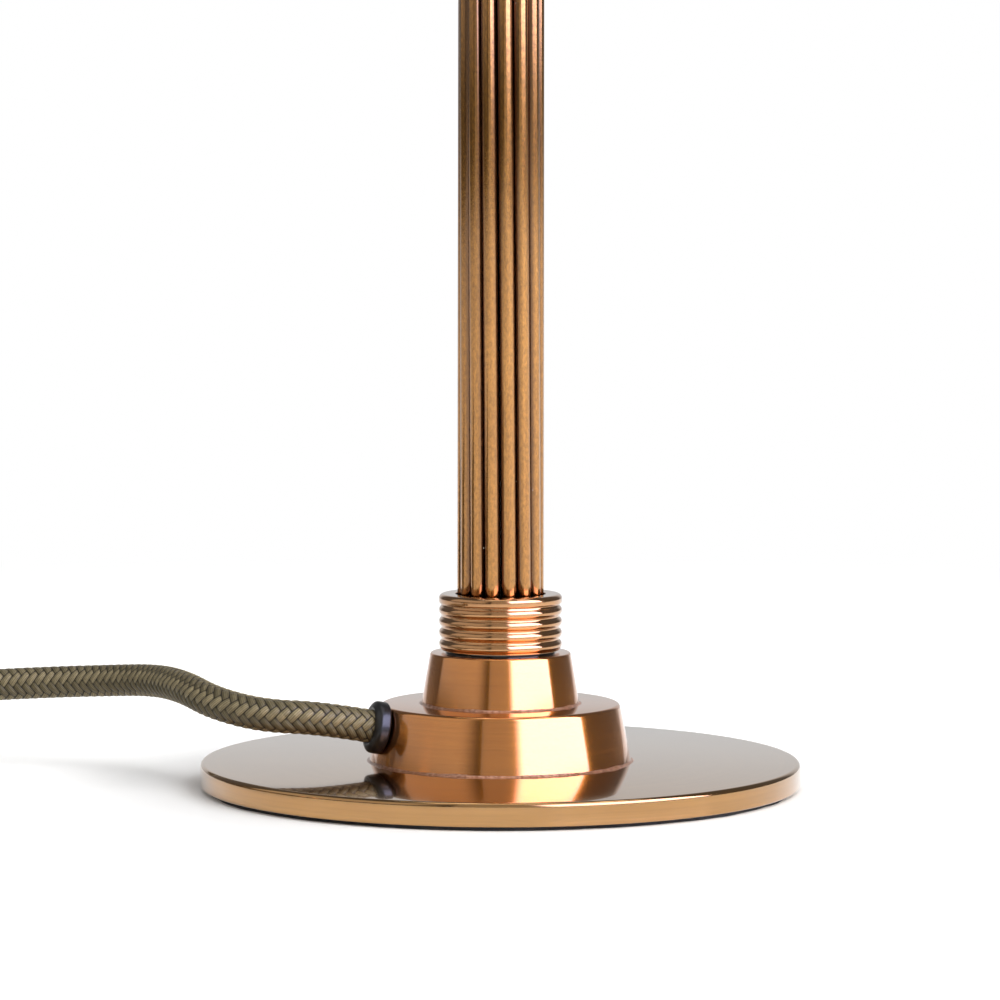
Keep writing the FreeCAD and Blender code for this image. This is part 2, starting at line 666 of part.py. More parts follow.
# ---------------------------------------------------------------- lampholder
def lampholder_body():
    """Domed cap, skirt with its shade flange and thread, insulating insert and contacts."""
    dome_z = HOLDER_Z + CAP_NECK
    dome_top = dome_z + CAP_DOME
    inner_low = HOLDER_Z + CAP_BOSS
    keep("lampholder_cap", turned([
        (TUBE_R + THREAD_CLEARANCE, HOLDER_Z),
        (CAP_NECK_R, HOLDER_Z, 0.5),
        (CAP_NECK_R, dome_z),
        ((HOLDER_R - 3.4, dome_z + CAP_DOME * 0.34), (HOLDER_R, dome_top)),
        (HOLDER_R, CAP_TOP_Z, 0.3),
        (HOLDER_BORE_R, CAP_TOP_Z),
        (HOLDER_BORE_R, dome_top),
        ((HOLDER_R - 4.7, dome_z + CAP_DOME * 0.50), (CAP_NECK_R + 0.6, inner_low)),
        (TUBE_R + THREAD_CLEARANCE, inner_low),
    ]))
    skirt = turned([
        (SKIRT_BORE_R, CAP_TOP_Z - SKIRT_SPIGOT),
        (SPIGOT_R, CAP_TOP_Z - SKIRT_SPIGOT),
        (SPIGOT_R, CAP_TOP_Z),
        (HOLDER_R, CAP_TOP_Z, 0.3),
        (HOLDER_R, SHADE_SEAT_Z - FLANGE_THICK),
        (FLANGE_R, SHADE_SEAT_Z - FLANGE_THICK, 0.5),
        (FLANGE_R, SHADE_SEAT_Z, 0.4),
        (SHADE_THREAD_R, SHADE_SEAT_Z),
        (SHADE_THREAD_R, SKIRT_TOP_Z, 0.6),
        (SKIRT_BORE_R, SKIRT_TOP_Z),
    ])
    reach = HOLDER_R + 5
    bar_way = rod(BAR_R + BAR_CLEARANCE, Vector(-reach, 0, BAR_Z), Vector(reach, 0, BAR_Z))
    keep("lampholder_skirt", skirt.cut(bar_way))

    insert_r = SKIRT_BORE_R - INSERT_CLEARANCE
    insert = turned([
        (0, INSERT_Z),
        (insert_r, INSERT_Z, 0.6),
        (insert_r, INSERT_TOP_Z, 0.6),
        (WELL_R, INSERT_TOP_Z),
        (WELL_R, WELL_Z),
        (0, WELL_Z),
    ])
    pocket_top = BAR_Z + BRIDGE_R + MOVING_GAP
    pocket = box((2 * POCKET_HALF_X, 2 * POCKET_HALF_Y, pocket_top - INSERT_Z), (0, 0), INSERT_Z)
    way = rod(BAR_R + MOVING_GAP, Vector(-reach, 0, BAR_Z), Vector(reach, 0, BAR_Z))
    insert = insert.cut(pocket).cut(way)
    for side in (-1, 1):
        seat = box((TERMINAL_SIZE, TERMINAL_SIZE, TERMINAL_HEIGHT + 0.02),
                   (0, side * TERMINAL_OFFSET), INSERT_Z)
        insert = insert.cut(seat)
    keep("lampholder_insert", insert)

    shell_r = WELL_R - 0.05
    keep("thread_shell", turned([
        (shell_r - SHELL_WALL, WELL_Z),
        (shell_r, WELL_Z),
        (shell_r, INSERT_TOP_Z + 1.0, 0.2),
        (shell_r - SHELL_WALL, INSERT_TOP_Z + 1.0),
    ]))
    tongue = box((4.0, 2 * CONTACT_SLOT_HALF, 0.5), (0, 0), WELL_Z)
    rise = box((4.0, 3.0, SHELL_STAND - 0.5), (0, 0), WELL_Z + 0.5)
    keep("centre_contact", tongue.fuse(rise).removeSplitter())


def terminals():
    """Brass terminal blocks in the insert, each with its screw, and the earth screw on the cap."""
    blocks = []
    screws = []
    for side in (-1, 1):
        y = side * TERMINAL_OFFSET
        block = box((TERMINAL_SIZE - 0.2, TERMINAL_SIZE - 0.2, TERMINAL_HEIGHT), (0, y), INSERT_Z)
        hole_z = INSERT_Z + TERMINAL_HEIGHT / 2
        wire_way = Part.makeCylinder(CORE_R + 0.1, TERMINAL_HEIGHT * 0.6, Vector(0, y, INSERT_Z))
        tap = rod(TERMINAL_SCREW_R + 0.05, Vector(0, y, hole_z),
                  Vector(TERMINAL_SIZE, y, hole_z))
        blocks.append(block.cut(wire_way).cut(tap))
    keep("terminal_blocks", *blocks)
    earth_z = HOLDER_Z + CAP_BOSS
    for side in (-1, 1):
        y = side * TERMINAL_OFFSET
        hole_z = INSERT_Z + TERMINAL_HEIGHT / 2
        start = Vector(CORE_R + 0.15, y, hole_z)
        screws.append(rod(TERMINAL_SCREW_R, start, start + Vector(TERMINAL_SCREW, 0, 0)))
    post = Part.makeCylinder(TERMINAL_SCREW_R, EARTH_SCREW, Vector(EARTH_X, 0, earth_z))
    head = Part.makeCylinder(EARTH_HEAD_R, EARTH_HEAD,
                             Vector(EARTH_X, 0, earth_z + EARTH_SCREW - EARTH_HEAD))
    screws.append(post.fuse(head).removeSplitter())
    keep("terminal_screws", *screws)


def cores():
    """The three cores, from the end of the inner flex to their terminals."""
    start_z = HOLDER_Z + CAP_BOSS + 1.0
    places = {
        "live_core": (90, Vector(0, TERMINAL_OFFSET, INSERT_Z + CORE_IN_TERMINAL)),
        "neutral_core": (-90, Vector(0, -TERMINAL_OFFSET, INSERT_Z + CORE_IN_TERMINAL)),
        "earth_core": (180, Vector(EARTH_X, 0, start_z + CORE_HUMP)),
    }
    for node, (azimuth, end) in places.items():
        first = polar(CORE_CIRCLE + 0.05, azimuth, start_z)
        if node == "earth_core":
            points = [
                first,
                first + Vector(0, 0, CORE_RUN),
                Vector(end.x + CORE_R * 1.8, 0, end.z - CORE_R / 2),
                end,
                Vector(end.x, 0, start_z + EARTH_SCREW - 0.9),
            ]
        else:
            points = [
                first,
                first + Vector(0, 0, CORE_RUN),
                Vector(0, end.y, INSERT_Z - CORE_RUN - 0.5),
                end,
            ]
        keep(node, swept(tube_edges(points, node), CORE_R, node))


def switch():
    """Push bar through the holder, resting with its right knob out, and its contact bridge."""
    shift = BAR_TRAVEL / 2
    knob_in = HOLDER_R + BAR_STOP_GAP + shift
    bar = turned([
        (0, -knob_in - BAR_KNOB),
        (BAR_KNOB_R, -knob_in - BAR_KNOB, BAR_KNOB_DOME),
        (BAR_KNOB_R, -knob_in, 0.5),
        (BAR_R, -knob_in),
        (BAR_R, knob_in),
        (BAR_KNOB_R, knob_in, 0.5),
        (BAR_KNOB_R, knob_in + BAR_KNOB, BAR_KNOB_DOME),
        (0, knob_in + BAR_KNOB),
    ])
    lay_down = Placement(Vector(shift, 0, BAR_Z), Rotation(Z_AXIS, Vector(1, 0, 0)))
    bar.Placement = lay_down
    keep("switch_bar", bar)
    bridge = turned([
        (BAR_R, -BRIDGE_LENGTH / 2),
        (BRIDGE_R, -BRIDGE_LENGTH / 2, 0.3),
        (BRIDGE_R, BRIDGE_LENGTH / 2, 0.3),
        (BAR_R, BRIDGE_LENGTH / 2),
    ])
    bridge.Placement = lay_down
    keep("switch_bridge", bridge)


# ---------------------------------------------------------------- bulb
def bulb():
    """Pear-shaped clear bulb with its metal screw cap and straight filaments on a glass stem."""
    insulator_z = BULB_Z + BULB_TIP
    shell_z = insulator_z + BULB_INSULATOR
    shell_top = shell_z + BULB_CAP_SHELL
    keep("bulb_cap", turned([
        (0, BULB_Z),
        (BULB_TIP_R, BULB_Z, 0.6),
        (BULB_TIP_R, insulator_z),
        (BULB_CAP_R, shell_z, 0.8),
        (BULB_CAP_R, shell_top),
        (BULB_NECK_R + 0.2, shell_top + BULB_COLLAR / 2, 0.3),
        (BULB_NECK_R + 0.2, shell_top + BULB_COLLAR, 0.3),
        (0, shell_top + BULB_COLLAR),
    ]))
    glass_z = shell_top + BULB_COLLAR
    top_z = BULB_Z + BULB_LENGTH
    ball_z = top_z - BULB_R
    wall = BULB_GLASS_WALL
    neck_mid = ((BULB_NECK_R + BULB_R) / 2 - 1.2, glass_z + (ball_z - glass_z) * 0.52)
    neck_mid_in = (neck_mid[0] - wall, neck_mid[1] + 0.2)
    reach = BULB_R * math.sqrt(0.5)
    reach_in = (BULB_R - wall) * math.sqrt(0.5)
    keep("bulb_glass", turned([
        (0, glass_z),
        (BULB_NECK_R, glass_z),
        (neck_mid, (BULB_R, ball_z)),
        ((reach, ball_z + reach), (0, top_z)),
        (0, top_z - wall),
        ((reach_in, ball_z + reach_in), (BULB_R - wall, ball_z)),
        (neck_mid_in, (BULB_NECK_R - wall, glass_z + wall)),
        (0, glass_z + wall),
    ]))
    stem_z = glass_z + wall
    stem_top = ball_z - STEM_BELOW_BALL
    stem = turned([
        (0, stem_z),
        (STEM_R + 3.5, stem_z),
        ((STEM_R + 0.6, stem_z + STEM_FOOT * 0.4), (STEM_R, stem_z + STEM_FOOT)),
        (STEM_R, stem_top, 1.4),
        (0, stem_top),
    ])
    pieces = stem
    for i in range(FILAMENT_COUNT):
        azimuth = 45 + 360 * i / FILAMENT_COUNT
        foot = polar(STEM_R - 0.6, azimuth, stem_top - 2.5)
        tip = polar(FILAMENT_CIRCLE, azimuth, ball_z + FILAMENT_ABOVE_BALL)
        pieces = pieces.fuse(rod(FILAMENT_R, foot, tip))
    keep("bulb_filament", pieces)


# ---------------------------------------------------------------- shade
def shade_r(z):
    """Outer radius of the shade's cover at a height."""
    share = (z - SHADE_Z) / SHADE_HEIGHT
    return SHADE_BOTTOM_R + (SHADE_TOP_R - SHADE_BOTTOM_R) * share


def shade():
    """Cover with its two hems, top wire, and the bottom wire with spokes and carrier ring."""
    top_z = SHADE_Z + SHADE_HEIGHT
    low_in = SHADE_BOTTOM_R - SHADE_WALL
    top_in = SHADE_TOP_R - SHADE_WALL
    hem = SHADE_HEM_THICK
    keep("shade_cover", turned([
        (low_in, SHADE_Z),
        (SHADE_BOTTOM_R + hem, SHADE_Z, 0.5),
        (shade_r(SHADE_Z + SHADE_HEM) + hem, SHADE_Z + SHADE_HEM, 0.3),
        (shade_r(SHADE_Z + SHADE_HEM), SHADE_Z + SHADE_HEM),
        (shade_r(top_z - SHADE_HEM), top_z - SHADE_HEM),
        (shade_r(top_z - SHADE_HEM) + hem, top_z - SHADE_HEM, 0.3),
        (SHADE_TOP_R + hem, top_z, 0.5),
        (top_in, top_z),
    ]))
    wire_gap = SHADE_WIRE_R + WIRE_GAP
    top_wire_z = top_z - SHADE_WIRE_R - WIRE_BELOW_HEM
    top_wire_r = shade_r(top_wire_z) - SHADE_WALL - wire_gap
    keep("shade_top_wire", Part.makeTorus(top_wire_r, SHADE_WIRE_R, Vector(0, 0, top_wire_z)))

    low_wire_z = SHADE_Z + SHADE_WIRE_R + WIRE_BELOW_HEM
    low_wire_r = shade_r(low_wire_z) - SHADE_WALL - wire_gap - 3 * WIRE_GAP
    frame = Part.makeTorus(low_wire_r, SHADE_WIRE_R, Vector(0, 0, low_wire_z))
    carrier = turned([
        (CARRIER_BORE_R, CARRIER_Z),
        (CARRIER_R, CARRIER_Z, 0.3),
        (CARRIER_R, CARRIER_Z + CARRIER_THICK, 0.3),
        (CARRIER_BORE_R, CARRIER_Z + CARRIER_THICK),
    ])
    frame = frame.fuse(carrier)
    for i in range(SPOKE_COUNT):
        azimuth = SPOKE_FIRST_DEG + 360 * i / SPOKE_COUNT
        spoke_in = polar(CARRIER_R - SPOKE_BITE, azimuth, CARRIER_Z + CARRIER_THICK / 2)
        spoke_out = polar(low_wire_r, azimuth, low_wire_z)
        frame = frame.fuse(rod(SPOKE_R, spoke_in, spoke_out))
    keep("shade_carrier", frame)


def shade_ring():
    """Threaded ring that clamps the carrier, with a notched grip."""
    bore = SHADE_THREAD_R + RING_CLEARANCE
    ring = turned([
        (bore, RING_Z),
        (RING_FLANGE_R, RING_Z, 0.4),
        (RING_FLANGE_R, RING_Z + RING_FLANGE, 0.4),
        (RING_GRIP_R, RING_Z + RING_FLANGE),
        (RING_GRIP_R, RING_Z + RING_HEIGHT, 0.5),
        (bore, RING_Z + RING_HEIGHT),
    ])
    notch = Part.makeCylinder(RING_NOTCH_R, RING_HEIGHT, Vector(RING_GRIP_R + 0.3, 0,
                                                                RING_Z + RING_FLANGE))
    notches = [around(notch, 360 * i / RING_NOTCHES) for i in range(RING_NOTCHES)]
    keep("shade_ring", ring.cut(Part.makeCompound(notches)))


# ---------------------------------------------------------------- free flex and coil
def biarc(start, start_dir, end, end_dir):
    """Two tangent arcs that join two points with given directions."""
    span = end - start
    both = start_dir + end_dir
    facing = 2 * (1 - start_dir.dot(end_dir))
    along = span.dot(both)
    reach = (-along + math.sqrt(along**2 + facing * span.dot(span))) / facing
    joint = (start + end + (start_dir - end_dir) * reach) * 0.5
    arcs = []
    for first, apex, last in (
        (start, start + start_dir * reach, joint),
        (joint, end - end_dir * reach, end),
    ):
        middle = (first + last) * 0.5
        half_chord = (last - first).Length / 2
        half_turn = math.acos(min(1.0, half_chord / reach))
        rise = half_chord * math.tan(half_turn / 2)
        out = (apex - middle).normalize()
        arcs.append(Part.Arc(first, middle + out * rise, last).toShape())
    return arcs


def coil_point(turn):
    """Place and direction of the coil's line after a number of turns. It spirals in on the upper
    layer, goes down in the half turn where it reverses, and spirals out on the lower one."""
    from_middle = turn - COIL_TURNS_IN
    radius = COIL_INNER_R + COIL_PITCH * abs(from_middle)
    growth = 0.0
    if abs(from_middle) > 1e-6:
        growth = math.copysign(COIL_PITCH / (2 * math.pi), from_middle)
    share = min(1.0, max(0.0, (from_middle + 0.25) / 0.5))
    z = COIL_HIGH_Z - COIL_LAYER * (1 - math.cos(math.pi * share)) / 2
    climb = -COIL_LAYER * math.sin(math.pi * share) / 2
    angle = math.radians(COIL_START_DEG) + 2 * math.pi * turn
    c = math.cos(angle)
    s = math.sin(angle)
    place = Vector(COIL_X + radius * c, COIL_Y + radius * s, z)
    direction = Vector(growth * c - radius * s, growth * s + radius * c, climb)
    return place, direction.normalize()


def coil_self_gap(edges):
    """Least gap between the coil's turns, measured on points along its line."""
    points = []
    for edge in edges:
        points += edge.discretize(Distance=2.5)[:-1]
    apart = int(60 / 2.5)
    least = min(
        (points[i] - points[j]).Length
        for i in range(len(points))
        for j in range(i + apart, len(points))
    )
    return least - 2 * CORD_R


def coil():
    """The unseen length as one unbroken tube, with straight ends; returns both ends and ways."""
    quarters = round((COIL_TURNS_IN + COIL_TURNS_OUT) * 4)
    stations = [coil_point(i / 4) for i in range(quarters + 1)]
    edges = []
    for (start, start_dir), (end, end_dir) in zip(stations, stations[1:]):
        edges += biarc(start, start_dir, end, end_dir)
    first, first_dir = stations[0]
    last, last_dir = stations[-1]
    entry = first - first_dir * COIL_STRAIGHT
    leave = last + last_dir * COIL_STRAIGHT
    print("cord_coil least gap between turns %.2f" % coil_self_gap(edges))
    edges.insert(0, Part.LineSegment(entry, first).toShape())
    edges.append(Part.LineSegment(last, leave).toShape())
    keep("cord_coil", swept(edges, CORD_R, "cord_coil"))
    return entry, first_dir, leave, last_dir


def cord():
    """The free flex on both sides of the coil, and the tie round the coil's turns."""
    entry, entry_dir, leave, leave_dir = coil()
    points = [CORD_START, CORD_START + GROMMET_AXIS * LEAD_EXIT_RUN]
    points += [Vector(*point) for point in LEAD_ROUTE]
    points += [entry - entry_dir * LEAD_ENTRY_RUN, entry]
    keep("cord_lead", swept(tube_edges(points, "cord_lead"), CORD_R, "cord_lead"))
    plug_at = Vector(leave.x + PLUG_STEP[0], leave.y + PLUG_STEP[1], PLUG_CORD_Z)
    points = [leave, leave + leave_dir * TAIL_EXIT_RUN]
    points += [leave + Vector(*step) for step in TAIL_ROUTE]
    points += [plug_at + Vector(0, PLUG_RUN, 0), plug_at]
    keep("cord_tail", swept(tube_edges(points, "cord_tail"), CORD_R, "cord_tail"))

    low_r = COIL_INNER_R - CORD_R - TIE_CLEARANCE
    high_r = COIL_END_R + CORD_R + TIE_CLEARANCE
    high_z = COIL_HIGH_Z + CORD_R + TIE_CLEARANCE
    outer = Part.makeBox(high_r - low_r + 2 * TIE_THICK, TIE_WIDTH, high_z + TIE_THICK,
                         Vector(low_r - TIE_THICK, -TIE_WIDTH / 2, 0))
    inner = Part.makeBox(high_r - low_r, TIE_WIDTH, high_z - TIE_THICK,
                         Vector(low_r, -TIE_WIDTH / 2, TIE_THICK))
    band = outer.cut(inner)
    band.rotate(Vector(), Z_AXIS, TIE_AZIMUTH)
    band.translate(Vector(COIL_X, COIL_Y, 0))
    keep("cord_tie", band)
    return plug_at


# ---------------------------------------------------------------- plug
def plug_outline():
    """Outline of the plug seen from its pins, with the cord's edge at y = 0."""
    half = PLUG_WIDTH / 2
    nose = PLUG_NOSE / 2
    corners = [
        Vector(-nose, -PLUG_HEIGHT, 0),
        Vector(nose, -PLUG_HEIGHT, 0),
        Vector(half, -PLUG_HEIGHT * PLUG_SHOULDER, 0),
        Vector(half, 0, 0),
        Vector(-half, 0, 0),
        Vector(-half, -PLUG_HEIGHT * PLUG_SHOULDER, 0),
    ]
    edges = []
    arcs = []
    for i, corner in enumerate(corners):
        before = corners[i - 1]
        after = corners[(i + 1) % len(corners)]
        radius = PLUG_CORNER if corner.y == 0 else PLUG_NOSE_CORNER
        arcs.append(corner_arc(before, corner, after, radius))
    for i, arc in enumerate(arcs):
        edges.append(Part.LineSegment(arcs[i - 1][2], arc[0]).toShape())
        edges.append(Part.Arc(*arc).toShape())
    return Part.Face(Part.Wire(edges))


def rim(shape, z):
    """Edges of a shape that lie at one height."""
    boxes = [(edge, edge.BoundBox) for edge in shape.Edges]
    return [edge for edge, box_ in boxes if max(abs(box_.ZMin - z), abs(box_.ZMax - z)) < 1e-4]


def plug(cord_end):
    """Three-pin plug that lies on its back: cover below, body above, pins upwards."""
    face = plug_outline()
    cover = face.extrude(Vector(0, 0, PLUG_COVER))
    cover = cover.makeFillet(PLUG_EDGE_ROUND, rim(cover, 0))
    body = face.extrude(Vector(0, 0, PLUG_BODY))
    body.translate(Vector(0, 0, PLUG_COVER + PLUG_JOINT))
    top = PLUG_COVER + PLUG_JOINT + PLUG_BODY
    body = body.makeFillet(PLUG_EDGE_ROUND * 0.5, rim(body, top))
    cord_z = cord_end.z
    bore = rod(CORD_R, Vector(0, -PLUG_CORD_DEPTH, cord_z), Vector(0, 1, cord_z))
    cover = cover.cut(bore)
    body = body.cut(bore)

    line_y = -LINE_PIN_IN
    earth_y = line_y - PIN_ROW
    earth = box((EARTH_PIN[0], EARTH_PIN[1], EARTH_PIN[2] + PIN_SEAT), (0, earth_y), top - PIN_SEAT)
    lines = [
        box((LINE_PIN[0], LINE_PIN[1], LINE_PIN[2] + PIN_SEAT),
            (side * PIN_SPACING / 2, line_y), top - PIN_SEAT)
        for side in (-1, 1)
    ]
    pins = [earth] + lines
    for pin in pins:
        body = body.cut(pin)
    earth = earth.makeChamfer(PIN_CHAMFER, rim(earth, top + EARTH_PIN[2]))
    lines = [pin.makeChamfer(PIN_CHAMFER, rim(pin, top + LINE_PIN[2])) for pin in lines]

    screw_at = Vector(0, -PLUG_SCREW_IN, PLUG_COVER * 0.4)
    shank = Part.makeCylinder(PLUG_SCREW_R, top - PLUG_SCREW_HEAD - screw_at.z, screw_at)
    head = Part.makeCylinder(PLUG_SCREW_HEAD_R, PLUG_SCREW_HEAD,
                             Vector(0, screw_at.y, top - PLUG_SCREW_HEAD))
    screw = shank.fuse(head).removeSplitter()
    body = body.cut(screw)
    cover = cover.cut(screw)
    slot = box((2 * PLUG_SCREW_HEAD_R, PLUG_SLOT, PLUG_SLOT_DEPTH), (0, screw_at.y),
               top - PLUG_SLOT_DEPTH)
    fuse_x = PIN_SPACING / 2
    fuse_z = PLUG_COVER + PLUG_JOINT + 0.2
    fuse = rod(FUSE_R, Vector(fuse_x, -FUSE_IN - FUSE_LENGTH, fuse_z - FUSE_R),
               Vector(fuse_x, -FUSE_IN, fuse_z - FUSE_R))
    cover = cover.cut(fuse)
    body = body.cut(fuse)
    move = Vector(cord_end.x, cord_end.y + PLUG_CORD_DEPTH, 0)
    for node, shapes in (
        ("plug_cover", [cover]),
        ("plug_body", [body]),
        ("plug_earth_pin", [earth]),
        ("plug_line_pins", lines),
        ("plug_screw", [screw.cut(slot)]),
        ("plug_fuse", [fuse]),
    ):
        placed = []
        for shape in shapes:
            copy = shape.copy()
            copy.translate(move)
            placed.append(copy)
        keep(node, *placed)


def build():
    """Make every piece and write one STEP file for each."""
    base_pieces()
    grommet()
    inner_flex()
    cord_grip()
    column_pieces()
    lampholder_body()
    terminals()
    cores()
    switch()
    bulb()
    shade()
    shade_ring()
    plug(cord())
    os.makedirs("parts", exist_ok=True)
    for node, shape in solids_by_node.items():
        bad = [s for s in shape.Solids if not s.isValid() or s.Volume <= 0]
        if bad or not shape.Solids:
            print("CHECK", node, len(shape.Solids), "solids", len(bad), "bad")
        shape.exportStep("parts/%s.step" % node)
    print(len(solids_by_node), "nodes, height %.1f" % (SHADE_Z + SHADE_HEIGHT))


build()
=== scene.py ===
"""Column table lamp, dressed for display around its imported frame. Metres, +Z up, the front is -Y."""

import logging
import math
from dataclasses import dataclass
from enum import Enum
from typing import Optional, Sequence

import bpy
from mathutils import Matrix, Vector


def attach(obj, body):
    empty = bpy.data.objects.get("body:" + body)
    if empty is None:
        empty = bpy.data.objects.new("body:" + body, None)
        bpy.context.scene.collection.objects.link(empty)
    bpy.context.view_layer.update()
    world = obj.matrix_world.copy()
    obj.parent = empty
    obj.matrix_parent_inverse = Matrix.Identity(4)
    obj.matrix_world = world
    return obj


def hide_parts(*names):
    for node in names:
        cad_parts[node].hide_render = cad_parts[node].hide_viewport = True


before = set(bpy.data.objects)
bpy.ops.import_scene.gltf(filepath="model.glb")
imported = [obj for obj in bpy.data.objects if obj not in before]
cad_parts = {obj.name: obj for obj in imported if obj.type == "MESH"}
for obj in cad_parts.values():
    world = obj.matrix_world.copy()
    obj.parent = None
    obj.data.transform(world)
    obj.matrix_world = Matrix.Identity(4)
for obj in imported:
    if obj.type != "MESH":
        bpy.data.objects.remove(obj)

LOG = logging.getLogger("column_lamp")
MM = 0.001
WELD = 1e-6
SHARP = math.radians(60.0)
LAMP = "lamp"

Corner = tuple[float, ...]
Profile = list[tuple[float, float]]
Socket = bpy.types.NodeSocket


# ------------------------------------------------------------------ shader nodes
class Grain(Enum):
    """How a metal surface was worked, which sets the run of its fine lines."""

    TURNED = "turned"
    DRAWN = "drawn"


class Nodes:
    """A node tree under construction, with short ways to add and join its nodes."""

    def __init__(self, owner: bpy.types.ID) -> None:
        """Start with the emptied tree of a material or a world."""
        owner.use_nodes = True
        self.tree = owner.node_tree
        self.tree.nodes.clear()

    def join(self, source: Socket, target: Socket) -> None:
        """Link one socket to another."""
        self.tree.links.new(source, target)

    def put(self, target: Socket, value: object) -> None:
        """Set a socket from a number, a colour or another node's socket."""
        if isinstance(value, bpy.types.NodeSocket):
            self.join(value, target)
        elif isinstance(value, (tuple, list)) and len(value) == 3 and target.type == "RGBA":
            target.default_value = (*value, 1.0)
        else:
            target.default_value = value

    def node(self, kind: str, inputs: Optional[dict] = None, **settings: object) -> bpy.types.Node:
        """Add a node.

        Args:
            kind: type name without the leading ShaderNode.
            inputs: values or sockets by input name or number.
            settings: attributes of the node.

        Returns:
            The new node.
        """
        made = self.tree.nodes.new("ShaderNode" + kind)
        for key, value in settings.items():
            setattr(made, key, value)
        for key, value in (inputs or {}).items():
            self.put(made.inputs[key], value)
        return made

    def math(self, operation: str, *values: object, clamp: bool = False) -> Socket:
        """Add a math node and return its output."""
        made = self.node("Math", dict(enumerate(values)), operation=operation, use_clamp=clamp)
        return made.outputs[0]

    def place(self) -> Socket:
        """Object coordinates, which are the frame's own metres."""
        return self.node("TexCoord").outputs["Object"]

    def split(self, vector: Socket) -> tuple[Socket, Socket, Socket]:
        """The three parts of a vector."""
        made = self.node("SeparateXYZ", {0: vector})
        return made.outputs[0], made.outputs[1], made.outputs[2]

    def merge(self, x: object, y: object, z: object) -> Socket:
        """A vector from three numbers or sockets."""
        return self.node("CombineXYZ", {0: x, 1: y, 2: z}).outputs[0]

    def noise(self, vector: Socket, scale: float, detail: float = 2.0, rough: float = 0.5) -> Socket:
        """Noise from 0 to 1 at a number of features per metre."""
        values = {"Vector": vector, "Scale": scale, "Detail": detail, "Roughness": rough}
        return self.node("TexNoise", values).outputs["Fac"]

    def spread(self, value: Socket, low: float, high: float, to_low: float = 0.0,
               to_high: float = 1.0, smooth: bool = False) -> Socket:
        """Map a range of a value onto another, clamped."""
        kind = "SMOOTHSTEP" if smooth else "LINEAR"
        values = {"Value": value, "From Min": low, "From Max": high, "To Min": to_low,
                  "To Max": to_high}
        return self.node("MapRange", values, interpolation_type=kind).outputs[0]

    def mix(self, share: object, first: object, second: object, blend: str = "MIX") -> Socket:
        """Blend two colours."""
        made = self.node("Mix", data_type="RGBA", blend_type=blend)
        self.put(made.inputs[0], share)
        self.put(made.inputs[6], first)
        self.put(made.inputs[7], second)
        return made.outputs[2]

    def relief(self, height: Socket, depth: float, below: Optional[Socket] = None) -> Socket:
        """A normal bumped by a height, with the real depth in metres of its full range."""
        values: dict = {"Strength": 1.0, "Distance": depth, "Height": height}
        if below is not None:
            values["Normal"] = below
        return self.node("Bump", values).outputs[0]

    def rings(self) -> tuple[Socket, Socket]:
        """Distance from the lamp's axis and height, both in metres."""
        x, y, z = self.split(self.place())
        return self.math("SQRT", self.math("ADD", self.math("MULTIPLY", x, x),
                                           self.math("MULTIPLY", y, y))), z


class Shader(Nodes):
    """A material under construction, with a principled shader and an output."""

    def __init__(self, name: str) -> None:
        """Start a material."""
        self.material = bpy.data.materials.new(name)
        super().__init__(self.material)
        self.output = self.node("OutputMaterial")
        self.bsdf = self.node("BsdfPrincipled")
        self.join(self.bsdf.outputs[0], self.output.inputs["Surface"])

    def set(self, **values: object) -> None:
        """Set inputs of the principled shader, with underscores for the spaces in their names."""
        for key, value in values.items():
            self.put(self.bsdf.inputs[key.replace("_", " ")], value)


